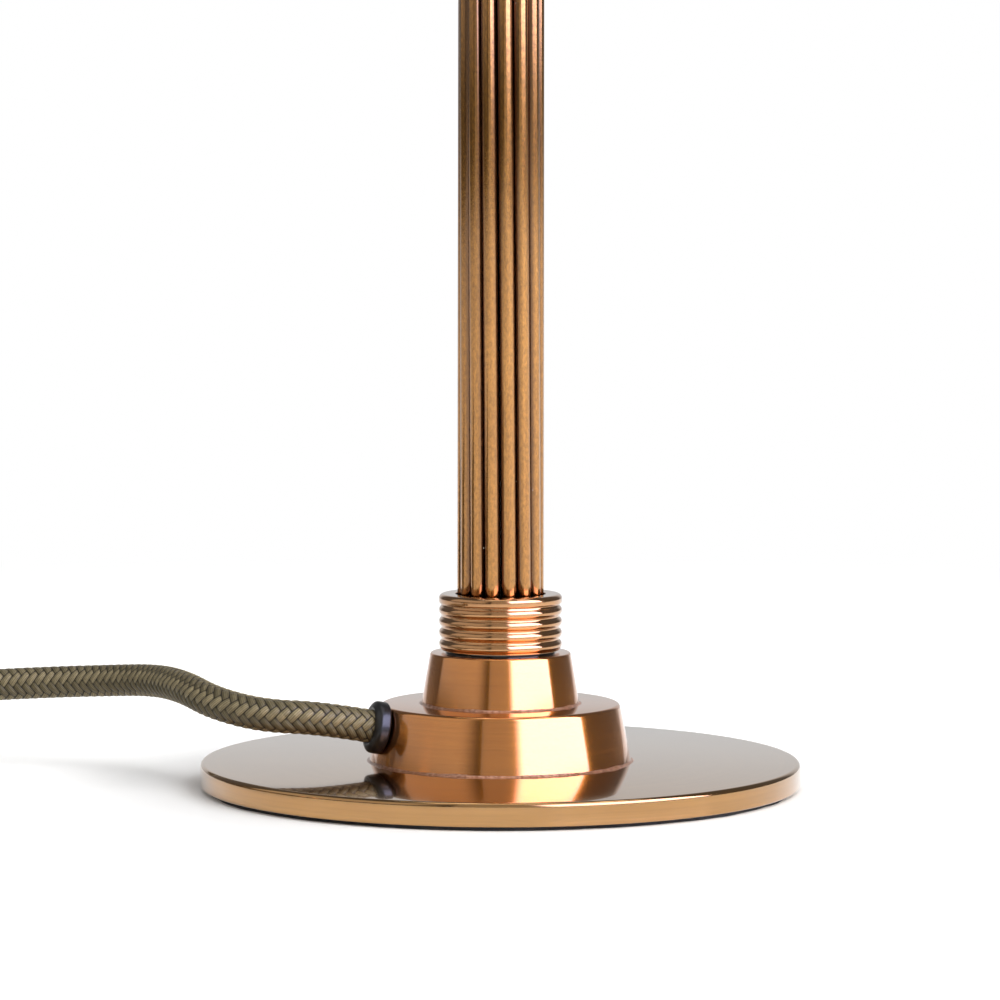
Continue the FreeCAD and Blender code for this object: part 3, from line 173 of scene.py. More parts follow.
# ------------------------------------------------------------------ finishes
@dataclass(frozen=True)
class LacqueredBrass:
    """Aged brass under clear lacquer, with the lines of its working and a light patina; where asked, painted
    shade in the crevices between rods and in the gaps under the collars.
    """

    name: str
    grain: Grain
    colour: tuple[float, float, float] = (0.60, 0.295, 0.110)
    patina: tuple[float, float, float] = (0.36, 0.150, 0.045)
    roughness: float = 0.17
    anisotropy: float = 0.7
    coat_roughness: float = 0.06
    coat_ior: float = 1.55
    speckle: float = 3.2e-6
    mottle: float = 0.0
    crevice_shade_radius: float = 0.0
    shade_collar_gaps: bool = False

    def build(self) -> bpy.types.Material:
        """Make the material."""
        s = Shader(self.name)
        place = s.place()
        radius, z = s.rings()
        drift = s.math("MULTIPLY", s.noise(place, 60.0), 0.0012)
        if self.grain is Grain.TURNED:
            line_place = s.merge(s.math("ADD", radius, drift), 0.0, s.math("ADD", z, drift))
        else:
            x, y, _ = s.split(place)
            line_place = s.merge(x, y, s.math("MULTIPLY", z, 0.012))
        lines = s.noise(line_place, 2600.0, 3.0, 0.6)
        broad_lines = s.noise(line_place, 520.0, 2.0, 0.5)
        cloud = s.noise(place, 45.0, 4.0, 0.6)
        speck = s.noise(place, 2100.0, 2.0, 0.6)
        worn = s.math("MULTIPLY_ADD", broad_lines, 0.45, s.math("MULTIPLY", cloud, 0.55))
        share = s.spread(worn, 0.40, 0.72, 0.0, 0.34)
        tone = s.mix(share, self.colour, self.patina)
        fine = s.spread(lines, 0.3, 0.7, 0.90, 1.06)
        tone = s.mix(1.0, tone, s.merge(fine, fine, fine), "MULTIPLY")
        if self.mottle:
            x, y, z_part = s.split(place)
            blotch = s.noise(s.merge(x, y, s.math("MULTIPLY", z_part, 0.45)), 2300.0, 3.0, 0.7)
            shade = s.spread(blotch, 0.35, 0.65, 1.0 + self.mottle, 1.0 - self.mottle)
            tone = s.mix(1.0, tone, s.merge(shade, shade, shade), "MULTIPLY")
        # Painted shade: the brass darkens to near black towards the crevices between the rods, where shade
        # falls; pale dust specks sit in the same crevices.
        if self.crevice_shade_radius:
            crevice_shade_and_dust_mask = s.spread(radius, self.crevice_shade_radius, self.crevice_shade_radius - 0.0009, smooth=True)
            tone = s.mix(s.math("MULTIPLY", crevice_shade_and_dust_mask, 0.8), tone, (0.09, 0.035, 0.010))
            bright = s.spread(s.noise(place, 1500.0, 1.0), 0.76, 0.80)
            patch = s.spread(s.noise(place, 90.0, 1.0), 0.55, 0.62)
            dust = s.math("MULTIPLY", s.math("MULTIPLY", bright, patch), crevice_shade_and_dust_mask)
            tone = s.mix(dust, tone, (0.75, 0.72, 0.66))
            s.set(Metallic=s.math("SUBTRACT", 1.0, dust))
        else:
            s.set(Metallic=1.0)
        # Painted shade: the spigot in the gap under each collar turns near black, where shade falls.
        if self.shade_collar_gaps:
            past = s.spread(s.math("ABSOLUTE", s.math("SUBTRACT", z, 0.1663)), 0.13685, 0.13692)
            painted_gap_shade_mask = s.spread(radius, 0.0124, 0.0121)
            tone = s.mix(s.math("MULTIPLY", past, painted_gap_shade_mask), tone, (0.012, 0.006, 0.003))
        rough = s.math("MULTIPLY_ADD", lines, 0.10, self.roughness - 0.05)
        rough = s.math("MULTIPLY_ADD", cloud, 0.06, s.math("SUBTRACT", rough, 0.03))
        bumped = s.relief(lines, 1.2e-6)
        bumped = s.relief(broad_lines, 2.0e-6, bumped)
        bumped = s.relief(speck, self.speckle, bumped)
        tangent = s.node("Tangent", direction_type="RADIAL", axis="Z").outputs[0]
        turn = 0.25 if self.grain is Grain.TURNED else 0.0
        s.set(Base_Color=tone, Roughness=rough, Normal=bumped, Anisotropic=self.anisotropy,
              Anisotropic_Rotation=turn, Tangent=tangent, Coat_Weight=1.0, Coat_Roughness=self.coat_roughness,
              Coat_IOR=self.coat_ior)
        return s.material


@dataclass(frozen=True)
class Solder:
    """The pinkish, grainy line of solder at a joint."""

    name: str = "solder_line"

    def build(self) -> bpy.types.Material:
        """Make the material."""
        s = Shader(self.name)
        place = s.place()
        grains = s.noise(place, 1400.0, 3.0, 0.7)
        patch = s.noise(place, 160.0, 2.0)
        tone = s.mix(s.spread(grains, 0.36, 0.62), (0.26, 0.095, 0.045), (0.62, 0.34, 0.23))
        tone = s.mix(s.spread(patch, 0.45, 0.65, 0.0, 0.6), tone, (0.42, 0.17, 0.07))
        s.set(Base_Color=tone, Metallic=0.6, Roughness=0.38, Normal=s.relief(grains, 2.0e-5),
              Coat_Weight=0.5, Coat_Roughness=0.12)
        return s.material


@dataclass(frozen=True)
class Rubber:
    """Dark moulded rubber, from dull sheet to a polished bush."""

    name: str
    colour: tuple[float, float, float]
    roughness: float
    shine: float = 0.0

    def build(self) -> bpy.types.Material:
        """Make the material."""
        s = Shader(self.name)
        place = s.place()
        grain = s.noise(place, 2400.0, 2.0, 0.6)
        cloud = s.noise(place, 220.0, 3.0)
        paler = tuple(part * 1.9 + 0.004 for part in self.colour)
        tone = s.mix(s.spread(cloud, 0.4, 0.75, 0.0, 0.8), self.colour, paler)
        rough = s.math("MULTIPLY_ADD", cloud, 0.14, self.roughness - 0.07)
        s.set(Base_Color=tone, Roughness=rough, Normal=s.relief(grain, 9.0e-6),
              Coat_Weight=self.shine, Coat_Roughness=0.10)
        return s.material


@dataclass(frozen=True)
class BraidWeave:
    """The measures of the flex's braid, shared by its relief and its colour."""

    leaf: float = 2.1 * MM
    carriers_each_way: int = 8
    lift: float = 0.22 * MM

    def height(self, along: float, around: float) -> float:
        """Relief of the braid.

        Args:
            along: distance along the flex in leaves.
            around: share of the way round, from 0 to 1.

        Returns:
            Height from 0 in the gaps to 1 on a leaf's crown.
        """
        turn = around * self.carriers_each_way
        a = along + turn
        b = along - turn
        row = (math.floor(a) - math.floor(b)) % 4
        if row < 2:
            across = a - math.floor(a)
            through = ((b - math.floor(a) + 1.0) % 4.0) / 2.0
        else:
            across = b - math.floor(b)
            through = ((a - math.floor(b) - 2.0) % 4.0) / 2.0
        crown = 1.0 - abs(2.0 * across - 1.0) ** 2.6
        arch = math.sin(math.pi * min(1.0, max(0.0, through))) ** 0.55
        return crown * arch


@dataclass(frozen=True)
class BraidedTextile:
    """Olive textile braid: slanting leaves of parallel yarn that cross two over two, with painted shade on
    the leaves of one direction and in the gaps and creases.
    """

    name: str
    weave: BraidWeave
    light: tuple[float, float, float] = (0.40, 0.325, 0.185)
    shade: tuple[float, float, float] = (0.075, 0.060, 0.027)
    gap_shade: tuple[float, float, float] = (0.009, 0.007, 0.003)

    def build(self) -> bpy.types.Material:
        """Make the material."""
        s = Shader(self.name)
        uv = s.node("UVMap", uv_map="braid").outputs[0]
        along, around, _ = s.split(uv)
        turn = s.math("MULTIPLY", around, float(self.weave.carriers_each_way))
        a = s.math("ADD", along, turn)
        b = s.math("SUBTRACT", along, turn)
        row_a, row_b = s.math("FLOOR", a), s.math("FLOOR", b)
        row = s.math("FLOORED_MODULO", s.math("SUBTRACT", row_a, row_b), 4.0)
        second = s.math("GREATER_THAN", row, 1.5)
        across_a, across_b = s.math("SUBTRACT", a, row_a), s.math("SUBTRACT", b, row_b)
        through_a = s.math("ADD", s.math("SUBTRACT", b, row_a), 1.0)
        through_b = s.math("SUBTRACT", s.math("SUBTRACT", a, row_b), 2.0)
        across = self.choose(s, second, across_a, across_b)
        through = s.math("FLOORED_MODULO", self.choose(s, second, through_a, through_b), 4.0)
        through = s.math("MULTIPLY", through, 0.5)
        offset = s.math("ABSOLUTE", s.math("SUBTRACT", s.math("MULTIPLY", across, 2.0), 1.0))
        crown = s.math("SUBTRACT", 1.0, s.math("POWER", offset, 2.6))
        arch = s.math("POWER", s.math("SINE", s.math("MULTIPLY", through, math.pi)), 0.55)
        height = s.math("MULTIPLY", crown, arch, clamp=True)
        yarn_place = s.merge(s.math("MULTIPLY", across, 1.0), s.math("MULTIPLY", through, 0.12),
                             s.math("ADD", s.math("MULTIPLY", row_a, 0.37),
                                    s.math("MULTIPLY", row_b, 0.71)))
        yarn = s.noise(yarn_place, 9.0, 3.0, 0.6)
        threads = s.math("SINE", s.math("MULTIPLY", across, 2.0 * math.pi * 4.0))
        threads = s.math("MULTIPLY_ADD", threads, 0.5, 0.5)
        leaf_tone = s.noise(s.merge(row_a, row_b, 0.0), 0.83, 0.0)
        worn = s.noise(s.place(), 70.0, 2.0)
        # Painted shade: the leaves of the second direction take the shade colour, as if they were lit less.
        tone = s.mix(s.math("MULTIPLY_ADD", second, 0.62, 0.06), self.light, self.shade)
        tone = s.mix(s.spread(leaf_tone, 0.35, 0.65, 0.0, 0.35), tone, self.shade)
        tone = s.mix(s.spread(worn, 0.4, 0.7, 0.0, 0.25), tone, self.light)
        tone = s.mix(s.spread(yarn, 0.35, 0.65, 0.0, 0.45), tone, self.shade)
        # Painted shade: dark lines between the filaments and near-black gaps round each leaf, where shade
        # falls in the creases.
        tone = s.mix(s.spread(threads, 0.55, 0.0, 0.0, 0.5), tone, self.gap_shade)
        tone = s.mix(s.spread(height, 0.42, 0.05), tone, self.gap_shade)
        fluff = s.math("MULTIPLY_ADD", threads, 0.35, s.math("MULTIPLY", yarn, 0.65))
        bumped = s.relief(height, self.weave.lift * 1.2)
        bumped = s.relief(fluff, 0.05 * MM, bumped)
        s.set(Base_Color=tone, Roughness=0.50, Normal=bumped, Specular_IOR_Level=0.35)
        return s.material

    @staticmethod
    def choose(s: Shader, second: Socket, first_value: Socket, second_value: Socket) -> Socket:
        """Take one of two values by a switch that is 0 or 1."""
        difference = s.math("SUBTRACT", second_value, first_value)
        return s.math("MULTIPLY_ADD", difference, second, first_value)


@dataclass(frozen=True)
class Moulded:
    """A moulded, glazed or powder-coated surface, with its slight ripple and uneven gloss."""

    name: str
    colour: tuple[float, float, float]
    roughness: float = 0.35
    ripple: float = 8.0e-6
    grain: float = 900.0

    def build(self) -> bpy.types.Material:
        """Make the material."""
        s = Shader(self.name)
        place = s.place()
        peel = s.noise(place, self.grain, 2.0, 0.5)
        cloud = s.noise(place, 120.0, 3.0)
        darker = tuple(part * 0.82 for part in self.colour)
        tone = s.mix(s.spread(cloud, 0.35, 0.7, 0.0, 0.6), self.colour, darker)
        rough = s.math("MULTIPLY_ADD", cloud, 0.16, self.roughness - 0.08)
        s.set(Base_Color=tone, Roughness=rough, Normal=s.relief(peel, self.ripple))
        return s.material


@dataclass(frozen=True)
class PlainMetal:
    """Plated or bare metal with fine scratches."""

    name: str
    colour: tuple[float, float, float]
    roughness: float = 0.28

    def build(self) -> bpy.types.Material:
        """Make the material."""
        s = Shader(self.name)
        place = s.place()
        x, y, z = s.split(place)
        scratch = s.noise(s.merge(s.math("MULTIPLY", x, 8.0), y, z), 900.0, 3.0, 0.6)
        cloud = s.noise(place, 260.0, 3.0)
        darker = tuple(part * 0.7 for part in self.colour)
        tone = s.mix(s.spread(cloud, 0.4, 0.7, 0.0, 0.5), self.colour, darker)
        rough = s.math("MULTIPLY_ADD", scratch, 0.18, self.roughness - 0.09)
        s.set(Base_Color=tone, Metallic=1.0, Roughness=rough, Normal=s.relief(scratch, 2.0e-6))
        return s.material


@dataclass(frozen=True)
class ClearGlass:
    """Blown glass with a faint waviness."""

    name: str = "clear_glass"

    def build(self) -> bpy.types.Material:
        """Make the material."""
        s = Shader(self.name)
        wave = s.noise(s.place(), 30.0, 1.0)
        s.set(Base_Color=(0.99, 0.99, 0.985), Roughness=0.0, IOR=1.48, Transmission_Weight=1.0,
              Normal=s.relief(wave, 2.0e-5))
        return s.material


@dataclass(frozen=True)
class Linen:
    """Plain-woven linen laid on a cone: threads run straight on the flat cloth, with slubs."""

    name: str
    colour: tuple[float, float, float]
    thread: float = 0.75 * MM
    cone: float = 30.0 / 172.63

    def build(self) -> bpy.types.Material:
        """Make the material."""
        s = Shader(self.name)
        x, y, _ = s.split(s.place())
        radius, _ = s.rings()
        azimuth = s.math("ARCTAN2", x, s.math("MULTIPLY", y, -1.0))
        swing = s.math("MULTIPLY", azimuth, self.cone)
        reach = s.math("DIVIDE", radius, self.cone)
        across = s.math("MULTIPLY", reach, s.math("SINE", swing))
        down = s.math("MULTIPLY", reach, s.math("COSINE", swing))
        wander = s.noise(s.merge(across, down, 0.0), 35.0, 2.0)
        warp = s.math("DIVIDE", s.math("MULTIPLY_ADD", wander, 0.0009, across), self.thread)
        weft = s.math("DIVIDE", s.math("MULTIPLY_ADD", wander, 0.0009, down), self.thread)
        turn = math.pi
        ridge_warp = s.math("ABSOLUTE", s.math("SINE", s.math("MULTIPLY", warp, turn)))
        ridge_weft = s.math("ABSOLUTE", s.math("SINE", s.math("MULTIPLY", weft, turn)))
        check = s.math("FLOORED_MODULO", s.math("ADD", s.math("FLOOR", warp), s.math("FLOOR", weft)), 2.0)
        over = s.math("MULTIPLY_ADD", s.math("SUBTRACT", ridge_weft, ridge_warp), check, ridge_warp)
        slub_warp = s.noise(s.merge(warp, s.math("MULTIPLY", weft, 0.03), 0.0), 0.9, 2.0)
        slub_weft = s.noise(s.merge(s.math("MULTIPLY", warp, 0.03), weft, 3.0), 0.9, 2.0)
        slub = s.math("MAXIMUM", s.spread(slub_warp, 0.56, 0.78), s.spread(slub_weft, 0.56, 0.78))
        darker = tuple(part * 0.74 for part in self.colour)
        paler = tuple(min(1.0, part * 1.07) for part in self.colour)
        tone = s.mix(s.spread(over, 0.15, 0.8), darker, self.colour)
        tone = s.mix(s.math("MULTIPLY", slub, 0.75), tone, paler)
        fleck = s.spread(s.noise(s.merge(warp, weft, 7.0), 0.55, 1.0), 0.70, 0.78)
        tone = s.mix(s.math("MULTIPLY", fleck, 0.35), tone, (0.42, 0.35, 0.24))
        height = s.math("MULTIPLY_ADD", slub, 0.5, over)
        s.set(Base_Color=tone, Roughness=0.85, Normal=s.relief(height, 0.10 * MM),
              Sheen_Weight=0.2, Sheen_Roughness=0.4)
        return s.material


# ------------------------------------------------------------------ the bench: modelling by hand
def lay_off() -> None:
    """Leave edit mode and deselect everything."""
    if bpy.context.object is not None and bpy.context.object.mode != "OBJECT":
        bpy.ops.object.mode_set(mode="OBJECT")
    bpy.ops.object.select_all(action="DESELECT")


def rounded(corners: Sequence[Corner], steps: int = 6) -> Profile:
    """Half section in millimetres with rounded corners.

    Args:
        corners: entries (r, z) or (r, z, rounding), from one end of the section to the other.
        steps: segments in a quarter turn of rounding.

    Returns:
        The points of the section.
    """
    points: Profile = []
    for i, corner in enumerate(corners):
        here = Vector(corner[:2])
        if len(corner) == 2 or i in (0, len(corners) - 1):
            points.append((here.x, here.y))
            continue
        back = (Vector(corners[i - 1][:2]) - here).normalized()
        ahead = (Vector(corners[i + 1][:2]) - here).normalized()
        half = back.angle(ahead) / 2
        reach = corner[2] / math.tan(half)
        centre = here + (back + ahead).normalized() * (corner[2] / math.sin(half))
        start = here + back * reach - centre
        turn = start.angle_signed(here + ahead * reach - centre)
        count = max(2, round(steps * abs(turn) / (math.pi / 2)))
        for k in range(count + 1):
            arm = start.copy()
            arm.rotate(Matrix.Rotation(-turn * k / count, 2))
            points.append((centre.x + arm.x, centre.y + arm.y))
    return points


def arc(start: tuple[float, float], crown: tuple[float, float], end: tuple[float, float],
        steps: int) -> Profile:
    """Points of the arc through three points, both ends included."""
    a, b, c = Vector(start), Vector(crown), Vector(end)
    d = 2 * (a.x * (b.y - c.y) + b.x * (c.y - a.y) + c.x * (a.y - b.y))
    ux = (a.dot(a) * (b.y - c.y) + b.dot(b) * (c.y - a.y) + c.dot(c) * (a.y - b.y)) / d
    uy = (a.dot(a) * (c.x - b.x) + b.dot(b) * (a.x - c.x) + c.dot(c) * (b.x - a.x)) / d
    centre = Vector((ux, uy))
    first = a - centre
    turn = first.angle_signed(b - centre) + (b - centre).angle_signed(c - centre)
    points = []
    for k in range(steps + 1):
        arm = first.copy()
        arm.rotate(Matrix.Rotation(-turn * k / steps, 2))
        points.append((centre.x + arm.x, centre.y + arm.y))
    return points


def draw_section(profile: Profile) -> bpy.types.Object:
    """Draw a half section in the XZ plane, point by point, and stay in edit mode."""
    lay_off()
    bpy.ops.mesh.primitive_plane_add(size=MM, location=(0, 0, 0))
    piece = bpy.context.active_object
    bpy.ops.object.mode_set(mode="EDIT")
    bpy.ops.mesh.select_mode(type="VERT")
    bpy.ops.mesh.select_all(action="SELECT")
    bpy.ops.mesh.merge(type="CENTER")
    bpy.ops.transform.translate(value=(profile[0][0] * MM, 0, profile[0][1] * MM))
    for (r, z), (next_r, next_z) in zip(profile, profile[1:]):
        step = ((next_r - r) * MM, 0, (next_z - z) * MM)
        bpy.ops.mesh.extrude_region_move(TRANSFORM_OT_translate={"value": step})
    return piece


def face_outward() -> None:
    """In edit mode, turn all faces outwards and go back to object mode."""
    bpy.ops.mesh.select_all(action="SELECT")
    bpy.ops.mesh.normals_make_consistent(inside=False)
    bpy.ops.object.mode_set(mode="OBJECT")


def weld() -> None:
    """In edit mode, select everything and weld the doubles."""
    bpy.ops.mesh.select_all(action="SELECT")
    bpy.ops.mesh.remove_doubles(threshold=WELD)


def close_mesh() -> None:
    """In edit mode, weld the doubles, turn the faces outwards and go back to object mode."""
    weld()
    face_outward()


def smooth(piece: bpy.types.Object, degrees: float = 40.0) -> None:
    """Shade a piece smooth where its faces meet at less than an angle."""
    lay_off()
    piece.select_set(True)
    bpy.context.view_layer.objects.active = piece
    bpy.ops.object.shade_smooth_by_angle(angle=math.radians(degrees))


def turned(name: str, profile: Profile, steps: int = 160, degrees: float = 40.0) -> bpy.types.Object:
    """Turn a piece on the lathe: spin a half section about the lamp's axis.

    Args:
        name: name of the piece.
        profile: half section in millimetres; it ends on the axis or where it began.
        steps: segments round the axis.
        degrees: faces that meet at less than this are shaded smooth.

    Returns:
        The piece.
    """
    piece = draw_section(profile)
    piece.name = name
    bpy.ops.mesh.select_all(action="SELECT")
    bpy.ops.mesh.spin(steps=steps, angle=2 * math.pi, center=(0, 0, 0), axis=(0, 0, 1))
    close_mesh()
    smooth(piece, degrees)
    return piece


def apply_modifiers(piece: bpy.types.Object) -> None:
    """Apply every modifier of a piece, in order."""
    lay_off()
    piece.select_set(True)
    bpy.context.view_layer.objects.active = piece
    for modifier in list(piece.modifiers):
        bpy.ops.object.modifier_apply(modifier=modifier.name)


def ease_edges(piece: bpy.types.Object, width: float, segments: int = 2) -> None:
    """Apply a piece's modifiers, then ease its sharp edges by a width in millimetres."""
    bevel = piece.modifiers.new("eased edges", "BEVEL")
    bevel.width = width * MM
    bevel.segments = segments
    bevel.limit_method = "ANGLE"
    bevel.angle_limit = SHARP
    apply_modifiers(piece)


def cut(piece: bpy.types.Object, cutter: bpy.types.Object) -> None:
    """Take a cutter's volume out of a piece and throw the cutter away."""
    modifier = piece.modifiers.new("cut", "BOOLEAN")
    modifier.operation = "DIFFERENCE"
    modifier.solver = "EXACT"
    modifier.object = cutter
    apply_modifiers(piece)
    bpy.data.objects.remove(cutter)


def copied(piece: bpy.types.Object, move: Matrix) -> bpy.types.Object:
    """Copy a piece with its own mesh, moved in its mesh."""
    copy = piece.copy()
    copy.data = piece.data.copy()
    copy.data.transform(move)
    bpy.context.scene.collection.objects.link(copy)
    return copy


def joined(pieces: Sequence[bpy.types.Object]) -> bpy.types.Object:
    """Join pieces into the first one."""
    lay_off()
    for piece in pieces:
        piece.select_set(True)
    bpy.context.view_layer.objects.active = pieces[0]
    bpy.ops.object.join()
    return pieces[0]


def bar_between(start: Vector, end: Vector, radius: float, sides: int,
                eased: float = 0.0) -> bpy.types.Object:
    """Round bar between two points in millimetres, its ends rounded if asked."""
    lay_off()
    length = (end - start).length * MM
    bpy.ops.mesh.primitive_cylinder_add(vertices=sides, radius=radius * MM, depth=length,
                                        location=(0, 0, length / 2))
    bar = bpy.context.active_object
    bpy.ops.object.transform_apply(location=True, rotation=True, scale=True)
    if eased:
        ease_edges(bar, eased, 3)
    turn = Vector((0, 0, 1)).rotation_difference(end - start).to_matrix().to_4x4()
    bar.data.transform(Matrix.Translation(start * MM) @ turn)
    smooth(bar)
    return bar


def threaded(name: str, root_r: float, crest_r: float, low_z: float, high_z: float, pitch: float,
             base: float, round_crest: bool = False) -> bpy.types.Object:
    """Helical ridge of a screw thread on a cylinder about the axis.

    Args:
        name: name of the piece.
        root_r: radius of the cylinder that carries it.
        crest_r: radius of its crest.
        low_z: height at which it starts.
        high_z: height that it doesn't pass.
        pitch: rise in one turn.
        base: width of the ridge at its root.
        round_crest: a rolled thread instead of a cut one.

    Returns:
        The piece.
    """
    inside = root_r - 0.1
    if round_crest:
        profile = [(inside, 0.0)] + arc((root_r, 0), (crest_r, base / 2), (root_r, base), 8)
    else:
        flat = pitch * 0.08
        profile = [(inside, 0.0), (root_r, 0.0), (crest_r, base / 2 - flat),
                   (crest_r, base / 2 + flat), (root_r, base)]
    profile += [(inside, base), (inside, 0.0)]
    ridge = draw_section(profile)
    ridge.name = name
    weld()
    bpy.ops.object.mode_set(mode="OBJECT")
    turns = (high_z - low_z - base) / pitch
    screw = ridge.modifiers.new("thread", "SCREW")
    screw.axis = "Z"
    screw.angle = 2 * math.pi * turns
    screw.screw_offset = pitch * turns * MM
    screw.steps = screw.render_steps = round(64 * turns)
    apply_modifiers(ridge)
    bpy.ops.object.mode_set(mode="EDIT")
    weld()
    bpy.ops.mesh.select_all(action="DESELECT")
    bpy.ops.mesh.select_mode(type="EDGE")
    bpy.ops.mesh.select_non_manifold()
    bpy.ops.mesh.fill_holes(sides=0)
    close_mesh()
    ridge.data.transform(Matrix.Translation((0, 0, low_z * MM)))
    smooth(ridge)
    return ridge


def settle(piece: bpy.types.Object, finish: bpy.types.Material, slot: str, *nodes: str,
           body: str = LAMP) -> bpy.types.Object:
    """Give a piece its finish, its body and the solids that it stands for."""
    piece.data.materials.clear()
    piece.data.materials.append(finish)
    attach(piece, body)
    if nodes:
        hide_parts(*nodes)
    faces = len(piece.data.polygons) if piece.type == "MESH" else 0
    LOG.info("%s: %d faces, rides on %s", piece.name, faces, body)
    return piece


def dress(node: str, finish: bpy.types.Material) -> None:
    """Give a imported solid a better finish."""
    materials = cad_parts[node].data.materials
    materials.clear()
    materials.append(finish)


# ------------------------------------------------------------------ studio
@dataclass
class Studio:
    """Camera, floor, white surround and soft lamps."""

    distance: float = 0.900
    height: float = 0.1285
    pitch_deg: float = 4.28
    roll_deg: float = 0.07
    side: float = -0.00013
    focal_px: float = 4258.0
    picture_px: float = 1000.0
    sensor: float = 36.0
    floor_size: float = 8.0
    fill: float = 0.42
    behind: tuple[float, float, float, float] = (0.78, 0.95, 0.0, 0.50)
    ahead: tuple[float, float, float, float] = (-0.15, -0.45, 0.12, 0.48)
    overhead_size: tuple[float, float] = (1.3, 1.0)
    overhead_energy: float = 9.0
    overhead_at: tuple[float, float, float] = (0.15, 0.1, 1.7)

    def build(self) -> None:
        """Set up everything round the lamp."""
        self.camera()
        self.floor()
        self.surround()
        self.panels()
        bpy.context.scene.view_settings.view_transform = "Standard"
        LOG.info("studio is set")

    def camera(self) -> None:
        """Place the camera at the photograph's viewing angle."""
        data = bpy.data.cameras.new("camera")
        data.sensor_width = self.sensor
        data.lens = self.focal_px / self.picture_px * self.sensor
        data.clip_start = 0.05
        data.clip_end = 50.0
        camera = bpy.data.objects.new("camera", data)
        bpy.context.scene.collection.objects.link(camera)
        turn = Matrix.Rotation(math.radians(90.0 - self.pitch_deg), 4, "X")
        roll = Matrix.Rotation(math.radians(self.roll_deg), 4, "Z")
        camera.matrix_world = Matrix.Translation((self.side, -self.distance, self.height)) @ turn @ roll
        bpy.context.scene.camera = camera

    def floor(self) -> None:
        """White table that keeps the lamp's shadow and a trace of its reflection."""
        lay_off()
        bpy.ops.mesh.primitive_plane_add(size=self.floor_size, location=(0, 0, -0.00002))
        floor = bpy.context.active_object
        floor.name = "floor"
        s = Shader("white_floor")
        radius, _ = s.rings()
        matt = s.node("BsdfDiffuse", {"Color": (0.93, 0.93, 0.93)})
        gloss = s.node("BsdfGlossy", {"Color": (1.0, 1.0, 1.0), "Roughness": 0.12})
        near = s.node("MixShader", {0: 0.035, 1: matt.outputs[0], 2: gloss.outputs[0]})
        white = s.node("Emission", {"Color": (1.0, 1.0, 1.0), "Strength": 1.0})
        seen = s.node("LightPath").outputs["Is Camera Ray"]
        far = s.math("MULTIPLY", s.spread(radius, 0.22, 0.55, smooth=True), seen)
        lift = s.node("Emission", {"Color": (1.0, 1.0, 1.0), "Strength": s.math(
            "MULTIPLY", seen, s.spread(radius, 0.072, 0.11, 0.035, 0.28, smooth=True))})
        near = s.node("AddShader", {0: near.outputs[0], 1: lift.outputs[0]})
        ground = s.node("MixShader", {0: far, 1: near.outputs[0], 2: white.outputs[0]})
        s.join(ground.outputs[0], s.output.inputs["Surface"])
        floor.data.materials.append(s.material)

    def surround(self) -> None:
        """White behind everything, and a studio that is paler behind the lamp than before it."""
        world = bpy.data.worlds.new("studio")
        bpy.context.scene.world = world
        n = Nodes(world)
        _, y, _ = n.split(n.node("TexCoord").outputs["Generated"])
        mirrored = n.math("ADD", n.spread(y, *self.behind, smooth=True),
                          n.spread(y, *self.ahead, smooth=True))
        paths = n.node("LightPath").outputs
        fill = n.node("Mix", {0: paths["Is Glossy Ray"], 2: self.fill, 3: mirrored}).outputs[0]
        seen = n.math("MAXIMUM", paths["Is Camera Ray"], paths["Is Transmission Ray"])
        strength = n.node("Mix", {0: seen, 2: fill, 3: 1.0}).outputs[0]
        background = n.node("Background", {"Color": (1.0, 1.0, 1.0), "Strength": strength})
        n.join(background.outputs[0], n.node("OutputWorld").inputs["Surface"])

    def panels(self) -> None:
        """Two standing softboxes and one overhead."""
        self.panel("key_panel", 48.5, 1.0, 1.43, 1.5, 5.0, fade=0.16, glint=(1.0, 1.0, 1.5))
        self.panel("fill_panel", -62.5, 1.0, 2.0, 1.3, 0.62, fade=0.3)
        lay_off()
        data = bpy.data.lights.new("overhead", "AREA")
        data.shape = "RECTANGLE"
        data.size, data.size_y = self.overhead_size
        data.energy = self.overhead_energy
        lamp = bpy.data.objects.new("overhead", data)
        lamp.location = self.overhead_at
        bpy.context.scene.collection.objects.link(lamp)

    def panel(self, name: str, azimuth: float, distance: float, width: float, height: float,
              strength: float, fade: float, glint: tuple[float, float, float] = (1.0, 1.0, 1.0)) -> None:
        """A standing softbox whose inner edge fades.

        Args:
            name: name of the panel.
            azimuth: degrees to the right of the camera's direction, seen from the lamp.
            distance: metres from the lamp's axis.
            width: metres across.
            height: metres from the floor up.
            strength: brightness of the panel.
            fade: share of the width that the inner edge takes to fade.
            glint: its colour in reflections.
        """
        lay_off()
        bpy.ops.mesh.primitive_plane_add(size=1.0, location=(0, 0, 0))
        panel = bpy.context.active_object
        panel.name = name
        s = Shader(name)
        x, y, _ = s.split(s.place())
        inner = -0.5 if azimuth > 0 else 0.5
        edge = s.spread(x, inner, inner * (1.0 - 2.0 * fade), 0.10, 1.0, smooth=True)
        foot = s.spread(y, -0.5 + 0.09 / height, -0.5 + 0.24 / height, 0.06, 1.0, smooth=True)
        edge = s.math("MULTIPLY", edge, foot)
        mirrored = s.node("LightPath").outputs["Is Glossy Ray"]
        light = s.node("Emission", {"Color": s.mix(mirrored, (1.0, 1.0, 1.0), glint),
                                    "Strength": s.math("MULTIPLY", edge, strength)})
        s.join(light.outputs[0], s.output.inputs["Surface"])
        panel.data.materials.append(s.material)
        angle = math.radians(azimuth)
        turn = Matrix.Rotation(angle, 4, "Z") @ Matrix.Rotation(math.radians(90.0), 4, "X")
        at = Vector((math.sin(angle) * distance, -math.cos(angle) * distance, height / 2 + 0.01))
        panel.matrix_world = Matrix.Translation(at) @ turn @ Matrix.Diagonal((width, height, 1.0, 1.0))
        panel.visible_camera = False
        panel.visible_shadow = False


